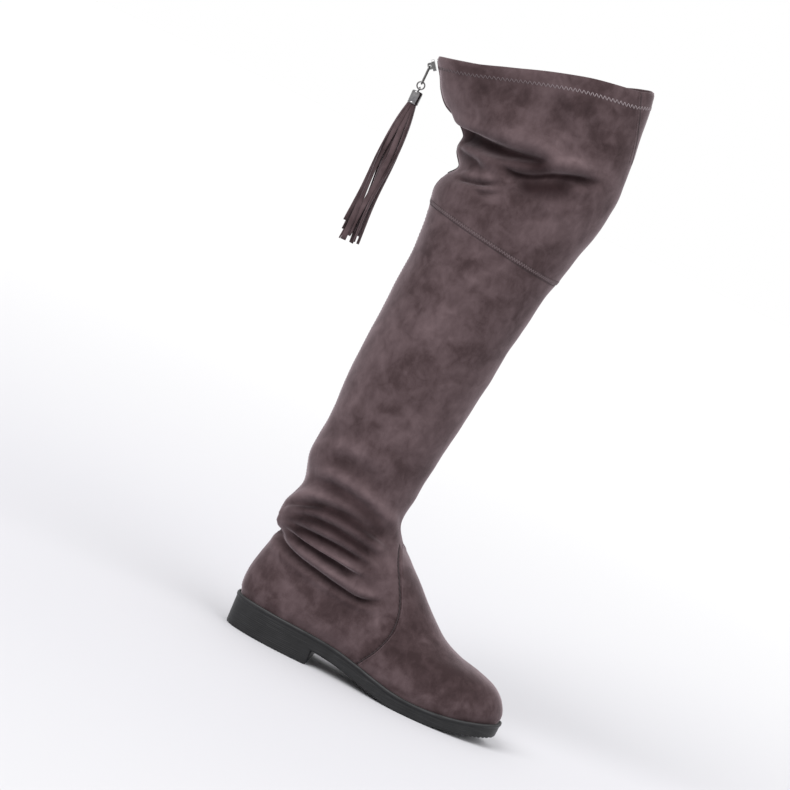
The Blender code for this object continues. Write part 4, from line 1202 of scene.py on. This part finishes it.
# Tassel strips: turn round the tassel, length below the cap, spread from its middle, twist and sideways wave
Strip = namedtuple("Strip", "turn length spread twist wave")
STRIPS = [
    Strip(8, 134, 1.00, 25, 1.8),
    Strip(44, 128, 0.95, -40, -1.6),
    Strip(80, 136, 1.08, 30, 2.4),
    Strip(117, 131, 0.92, 55, -2.2),
    Strip(158, 136, 1.06, -30, 1.4),
    Strip(199, 127, 0.96, 48, 2.3),
    Strip(238, 135, 1.10, -50, -2.5),
    Strip(276, 130, 0.94, 22, 1.9),
    Strip(318, 133, 1.04, -36, -1.7),
    Strip(25, 125, 0.55, 80, 2.6),
    Strip(140, 130, 0.50, -70, -2.3),
    Strip(255, 122, 0.55, 65, 2.1),
    Strip(215, 119, 1.30, 95, -3.6),
]
STRIP_SHARES = (0.0, 0.12, 0.4, 0.75, 1.0)
STRIP_SPREAD = (2.4, 5.0, 7.8, 7.4, 8.4)
STRIP_WIDTH = 4.6
STRIP_THICKNESS = 1.0
STRIP_ROOT = 2.0
STRIP_GRID = (4, 40)
STRIP_WAVES = 5.2
STRIP_CURL = 0.6
# A strip is narrower in the cap, and it widens and comes to wave freely within these shares of its length
STRIP_NECK = 0.75
STRIP_WIDENS = 0.2
STRIP_FREE = 0.4


def build_tassel(material):
    """Flat strips of suede, gathered in the cap and hanging free."""
    root = cap_foot() + Vector((0, 0, STRIP_ROOT * MM))
    body = bmesh.new()
    for strip in STRIPS:
        turn = math.radians(strip.turn)
        out = Vector((math.cos(turn), math.sin(turn), 0))
        side = Vector((-math.sin(turn), math.cos(turn), 0))
        grid = bmesh.ops.create_grid(body, x_segments=STRIP_GRID[0], y_segments=STRIP_GRID[1], size=1.0)
        for vert in grid["verts"]:
            share = (1 - vert.co.y) / 2
            aside = vert.co.x
            away = float(curve_through(STRIP_SHARES, STRIP_SPREAD, share)[0]) * strip.spread
            spin = math.radians(strip.twist) * share
            wide = STRIP_WIDTH / 2 * (STRIP_NECK + (1 - STRIP_NECK) * min(1.0, share / STRIP_WIDENS))
            flat = side * math.cos(spin) + out * math.sin(spin)
            free = min(1.0, share / STRIP_FREE)
            wave = strip.wave * math.sin(STRIP_WAVES * share + strip.turn) * free
            curl = STRIP_CURL * (1 - aside * aside)
            sway = side * wave + out * (away + curl + 0.5 * wave)
            vert.co = root + (sway + flat * (aside * wide)) * MM - Vector((0, 0, strip.length * share * MM))
    face_outward(body)
    piece = make_piece("tassel_strips", body, material, ["tassel"], "tassel_pull")
    thick = piece.modifiers.new("thickness", "SOLIDIFY")
    thick.thickness = STRIP_THICKNESS * MM
    thick.offset = 0.0


class Finish:
    """A material in the making: its shader and the nodes that feed it."""

    def __init__(self, name, colour, roughness, metallic=0.0):
        self.material = bpy.data.materials.new(name)
        self.material.use_nodes = True
        self.tree = self.material.node_tree
        self.dress({"Base Color": (*colour, 1.0), "Roughness": roughness, "Metallic": metallic})

    def feed(self, node, values):
        """Set a node's sockets, or join other nodes' outputs to them."""
        for name, value in values.items():
            if isinstance(value, bpy.types.NodeSocket):
                self.tree.links.new(value, node.inputs[name])
            else:
                node.inputs[name].default_value = value

    def dress(self, values):
        """Set or feed sockets of the shader itself."""
        self.feed(self.tree.nodes["Principled BSDF"], values)

    def node(self, kind, output, values, **settings):
        """One output of a new node with its settings and socket values."""
        node = self.tree.nodes.new("ShaderNode" + kind)
        for name, value in settings.items():
            setattr(node, name, value)
        self.feed(node, values)
        return node.outputs[output]

    def place(self, stretch=(1.0, 1.0, 1.0), turn=(0.0, 0.0, 0.0)):
        """The piece's own place, stretched or turned for a pattern."""
        own = self.node("TexCoord", "Object", {})
        return self.node("Mapping", "Vector", {"Vector": own, "Scale": stretch, "Rotation": turn})

    def grain(self, place, scale, detail=2.0, roughness=0.5, warp=0.0):
        """Random pattern, finer at a larger scale."""
        return self.node("TexNoise", "Fac", {
            "Vector": place, "Scale": scale, "Detail": detail, "Roughness": roughness, "Distortion": warp})

    def attribute(self, name):
        """One of the mesh's own values."""
        return self.node("Attribute", "Fac", {}, attribute_name=name)

    def arith(self, kind, first, second):
        """Two values joined by a sum or product."""
        return self.node("Math", 0, {0: first, 1: second}, operation=kind)

    def total(self, *parts):
        """Sum of (source, share) parts."""
        scaled = [self.arith("MULTIPLY", source, share) for source, share in parts]
        result = scaled[0]
        for part in scaled[1:]:
            result = self.arith("ADD", result, part)
        return result

    def uneven_roughness(self, source, share, least):
        """Gloss that varies with a pattern."""
        self.dress({"Roughness": self.arith("ADD", self.arith("MULTIPLY", source, share), least)})

    def ramp(self, source, stops):
        """Colours along a value, as (place, colour) stops."""
        node = self.tree.nodes.new("ShaderNodeValToRGB")
        band = node.color_ramp
        while len(band.elements) < len(stops):
            band.elements.new(0.5)
        for element, (place, colour) in zip(band.elements, stops):
            element.position = place
            element.color = (*colour, 1.0)
        self.feed(node, {"Fac": source})
        return node.outputs["Color"]

    def colour_by(self, source, stops):
        """Colour the material along a value."""
        self.dress({"Base Color": self.ramp(source, stops)})

    def darken(self, colour, attribute, tint):
        """Blend a colour toward a tint by one of the mesh's own values."""
        values = {"Factor": self.attribute(attribute), "A": colour, "B": (*tint, 1.0)}
        return self.node("Mix", "Result", values, data_type="RGBA", blend_type="MULTIPLY")

    def bump(self, height, strength, distance):
        """Fine relief from a pattern."""
        values = {"Height": height, "Strength": strength, "Distance": distance}
        self.dress({"Normal": self.node("Bump", "Normal", values)})


SUEDE_MID = (0.074, 0.0495, 0.0526)
SUEDE_TONES = (
    (0.255, (0.033, 0.0200, 0.0211)), (0.342, (0.051, 0.0324, 0.0343)), (0.412, SUEDE_MID),
    (0.505, (0.103, 0.0710, 0.0755)), (0.590, (0.132, 0.0925, 0.0980)))
# Colour that the painted shade in the creases darkens toward
CREASE_SHADE_TINT = (0.22, 0.165, 0.17)
SEAM_TINT = (0.30, 0.27, 0.28)
SHEEN_TINT = (0.80, 0.67, 0.715, 1.0)


def suede(name, creased):
    """Brushed suede cloth: cloudy nap, short brush strokes, fine fibres and a velvet edge."""
    finish = Finish(name, SUEDE_MID, 0.95)
    even = finish.place()
    cloud = finish.grain(even, 23.0, 3.0, 0.5, 0.9)
    patch = finish.grain(even, 75.0, 3.0, 0.55, 0.6)
    stroke = finish.grain(finish.place((1.0, 1.0, 0.55), (0.0, 0.6, 0.0)), 230.0, 3.0, 0.6, 0.3)
    fibre = finish.grain(even, 1500.0, 2.0, 0.6)
    parts = [(cloud, 0.38), (patch, 0.27), (stroke, 0.11), (fibre, 0.07)]
    if creased:
        parts.append((finish.attribute("nap"), 0.060))
    colour = finish.ramp(finish.total(*parts), SUEDE_TONES)
    if creased:
        # Painted shade in the fold creases, then the dark lines of the seams
        colour = finish.darken(finish.darken(colour, "crease", CREASE_SHADE_TINT), "seam", SEAM_TINT)
    finish.dress({"Base Color": colour, "Specular IOR Level": 0.12, "Sheen Weight": 0.55,
                  "Sheen Roughness": 0.38, "Sheen Tint": SHEEN_TINT})
    finish.bump(finish.total((fibre, 0.6), (patch, 1.0)), 0.35, 0.0006)
    return finish.material


def rubber(name):
    """Moulded charcoal rubber with a faint bloom."""
    finish = Finish(name, (0.011, 0.011, 0.012), 0.5)
    even = finish.place()
    bloom = finish.grain(even, 60.0, 3.0, 0.6, 0.4)
    streak = finish.grain(finish.place((0.05, 0.05, 1.0)), 620.0, 2.0, 0.6)
    pore = finish.grain(even, 900.0, 2.0)
    # The worn value lightens the bead as a painted highlight and the rubber near the floor as scuffing
    shade = finish.total((bloom, 0.4), (streak, 0.6), (finish.attribute("worn"), 0.3))
    finish.colour_by(shade, ((0.36, (0.005, 0.005, 0.0055)), (0.64, (0.013, 0.013, 0.014)),
                             (0.90, (0.034, 0.034, 0.035))))
    finish.uneven_roughness(bloom, 0.18, 0.36)
    finish.dress({"Specular IOR Level": 0.35})
    finish.bump(finish.total((pore, 0.4), (streak, 1.0)), 0.6, 0.0005)
    return finish.material


def nylon(name, dark, light, roughness):
    """Drawn plastic or cord, slightly uneven in colour and gloss."""
    finish = Finish(name, dark, roughness)
    uneven = finish.grain(finish.place(), 420.0, 3.0, 0.6)
    finish.colour_by(uneven, ((0.36, dark), (0.64, light)))
    finish.uneven_roughness(uneven, 0.2, roughness - 0.1)
    finish.bump(uneven, 0.2, 0.0002)
    return finish.material


def metal(name, colour, roughness):
    """Plated metal, lightly brushed."""
    finish = Finish(name, colour, roughness, 1.0)
    fine = finish.grain(finish.place((1.0, 1.0, 0.15)), 900.0, 2.0)
    worn = finish.grain(finish.place(), 260.0, 3.0, 0.6)
    finish.colour_by(worn, ((0.40, tuple(0.72 * c for c in colour)), (0.58, colour)))
    finish.uneven_roughness(fine, 0.16, roughness - 0.08)
    return finish.material


def weave(name, dark, light, pitch, roughness):
    """Close woven cloth."""
    finish = Finish(name, light, roughness)
    values = {"Vector": finish.place(), "Scale": 0.314 / pitch, "Distortion": 0.4}
    warp, weft = (finish.node("TexWave", "Fac", values, bands_direction=way) for way in ("X", "Z"))
    cloth = finish.arith("MULTIPLY", warp, weft)
    finish.colour_by(cloth, ((0.1, dark), (0.8, light)))
    finish.bump(cloth, 0.4, 0.0003)
    return finish.material


def thread(name, stops):
    """Sewing thread whose colour shifts from the back of the boot to its front."""
    finish = Finish(name, stops[0][1], 0.6)
    own = finish.node("TexCoord", "Object", {})
    forward = finish.node("SeparateXYZ", "X", {"Vector": own})
    share = finish.node("MapRange", "Result", {"Value": forward, "From Min": -0.09, "From Max": 0.11})
    finish.colour_by(share, stops)
    return finish.material


SUEDE = suede("brushed_suede", True)
STRIP_SUEDE = suede("tassel_suede_strips", False)
RUBBER = rubber("charcoal_rubber")
LINING = weave("lining_cloth", (0.034, 0.028, 0.029), (0.050, 0.041, 0.043), 0.0011, 0.9)
FOOTBED = weave("footbed_cloth", (0.06, 0.05, 0.05), (0.13, 0.11, 0.11), 0.0014, 0.9)
TAPE = weave("zip_tape_cloth", (0.010, 0.010, 0.011), (0.028, 0.028, 0.030), 0.0007, 0.8)
COIL = nylon("coil_nylon", (0.008, 0.008, 0.009), (0.020, 0.020, 0.022), 0.38)
SEAM_CORD = nylon("seam_cord", (0.020, 0.0135, 0.0145), (0.034, 0.024, 0.0255), 0.85)
GUNMETAL = metal("gunmetal_plate", (0.21, 0.205, 0.205), 0.25)
CAP_PLATE = metal("cap_plate", (0.26, 0.253, 0.257), 0.21)
COLLAR_THREAD = thread("collar_thread", (
    (0.0, (0.075, 0.055, 0.060)), (0.45, (0.13, 0.10, 0.108)), (0.75, (0.30, 0.25, 0.265))))
SEAM_THREAD = thread("seam_thread", ((0.0, (0.085, 0.062, 0.066)), (1.0, (0.150, 0.112, 0.120))))
KNEE_THREAD = thread("knee_thread", ((0.0, (0.095, 0.068, 0.073)), (1.0, (0.165, 0.125, 0.133))))

build_skin(SUEDE)
build_lining(LINING)
build_sole(RUBBER)
build_rounded("footbed_sheet", "insole", FOOTBED, width=0.8)
build_zip("back_zip_run", BACK_ROWS, BACK_COLUMNS, TAPE, COIL, "back_zip")
build_zip("inner_zip_run", INNER_ROWS, INNER_COLUMNS, TAPE, COIL, "inner_zip")
for node, finish in (("back_zip_slider", "slider_metal"), ("inner_zip_slider", "inner_slider_metal")):
    build_rounded(node + "_rounded", node, GUNMETAL, width=0.35)
for hoop in HOOPS:
    build_hoop(hoop, GUNMETAL)
build_cap(CAP_PLATE)
build_tassel(STRIP_SUEDE)
build_stitches("collar_stitches", [(row_round(HEM, above=0.0, clear=8.0), COLLAR_ZIGZAG)], COLLAR_THREAD)
build_stitches("knee_stitches", [(row_round(KNEE, above=2.3, clear=3.0), KNEE_ZIGZAG)], KNEE_THREAD)
# Sunk dashes under the knee stitches, and dark beads over them as painted shade in the needle holes
build_stitches("knee_dashes_and_hole_shade", [
    (row_round(KNEE, above=-0.1, clear=3.0), KNEE_DASH),
    (row_round(KNEE, above=4.2, clear=3.0), NEEDLE_HOLE_SHADE)], SEAM_CORD)
build_stitches("back_stitches", back_rows(), SEAM_THREAD)
VAMP_EDGE = vamp_line(ahead=1.9)
FRONT_EDGE = [(station - 1.8, height) for station, height in FRONT_SEAM]
for side, name in ((1, "outer"), (-1, "inner")):
    build_seam_cord("vamp_seam_" + name, side, vamp_line(), SEAM_RADIUS, SEAM_SUNK, SEAM_CORD)
    build_seam_cord("vamp_edge_" + name, side, VAMP_EDGE, EDGE_RADIUS, VAMP_EDGE_SUNK, STRIP_SUEDE)
    build_seam_cord("front_seam_" + name, side, FRONT_SEAM, SEAM_RADIUS, SEAM_SUNK, SEAM_CORD)
    build_seam_cord("front_edge_" + name, side, FRONT_EDGE, EDGE_RADIUS, FRONT_EDGE_SUNK, STRIP_SUEDE)

# Pale floor, white surroundings and soft light from the upper left of the picture
FLOOR_RADIUS = 12.0
floor_body = bmesh.new()
bmesh.ops.create_circle(floor_body, segments=96, radius=FLOOR_RADIUS, cap_ends=True)
floor_mesh = bpy.data.meshes.new("floor")
floor_body.to_mesh(floor_mesh)
floor_body.free()
floor = bpy.data.objects.new("floor", floor_mesh)
bpy.context.collection.objects.link(floor)
paper = Finish("floor_white", (0.70, 0.70, 0.70), 0.8)
# Painted light on the floor: its colour is painted darker near the boot and paler far off, where it meets the
# white surroundings
reach = paper.node("VectorMath", "Value", {0: paper.place()}, operation="LENGTH")
far = paper.arith("MULTIPLY", reach, 0.4)
paper.colour_by(far, ((0.16, (0.635, 0.631, 0.660)), (0.85, (0.73, 0.73, 0.73))))
floor_mesh.materials.append(paper.material)

LIT_STRENGTH = 0.80
SEEN_STRENGTH = 1.0
world = bpy.data.worlds.new("studio")
bpy.context.scene.world = world
world.use_nodes = True
sky = world.node_tree
path = sky.nodes.new("ShaderNodeLightPath")
mix = sky.nodes.new("ShaderNodeMixShader")
sky.links.new(path.outputs["Is Camera Ray"], mix.inputs[0])
lit = sky.nodes["Background"]
seen = sky.nodes.new("ShaderNodeBackground")
for number, (surround, strength) in enumerate(((lit, LIT_STRENGTH), (seen, SEEN_STRENGTH))):
    surround.inputs["Color"].default_value = (1.0, 1.0, 1.0, 1.0)
    surround.inputs["Strength"].default_value = strength
    sky.links.new(surround.outputs[0], mix.inputs[number + 1])
sky.links.new(mix.outputs[0], sky.nodes["World Output"].inputs["Surface"])

AZIMUTH = math.radians(4.0)
ELEVATION = math.radians(6.0)
ROLL = math.radians(25.4)
DISTANCE = 3.0
LENS = 155.0
SENSOR = 36.0
TARGET = Vector((0.0104, 0.0, 0.246))
level = Vector((math.cos(AZIMUTH), math.sin(AZIMUTH), 0.0))
toward = Vector((math.sin(AZIMUTH), -math.cos(AZIMUTH), 0.0))
back = toward * math.cos(ELEVATION) + Vector((0.0, 0.0, math.sin(ELEVATION)))
upright = back.cross(level)
right = level * math.cos(ROLL) + upright * math.sin(ROLL)
above = upright * math.cos(ROLL) - level * math.sin(ROLL)


def add_light(name, toward, strength, spread):
    """Wide soft light from one direction, even over the boot and the floor."""
    lamp = bpy.data.lights.new(name, "SUN")
    lamp.energy = strength
    lamp.angle = math.radians(spread)
    light = bpy.data.objects.new(name, lamp)
    bpy.context.collection.objects.link(light)
    light.rotation_euler = toward.to_track_quat("Z", "Y").to_euler()


add_light("key", above * 1.0 - right * 0.25 + back * 0.9, 2.0, 35.0)
add_light("fill", right * 1.0 + above * 0.35 + back * 0.6, 1.0, 60.0)

camera_data = bpy.data.cameras.new("photo_camera")
camera_data.lens = LENS
camera_data.sensor_width = SENSOR
camera = bpy.data.objects.new("photo_camera", camera_data)
bpy.context.collection.objects.link(camera)
turned = Matrix((right, above, back)).transposed().to_4x4()
camera.matrix_world = Matrix.Translation(TARGET + back * DISTANCE) @ turned
bpy.context.scene.camera = camera
bpy.context.scene.view_settings.view_transform = "Standard"
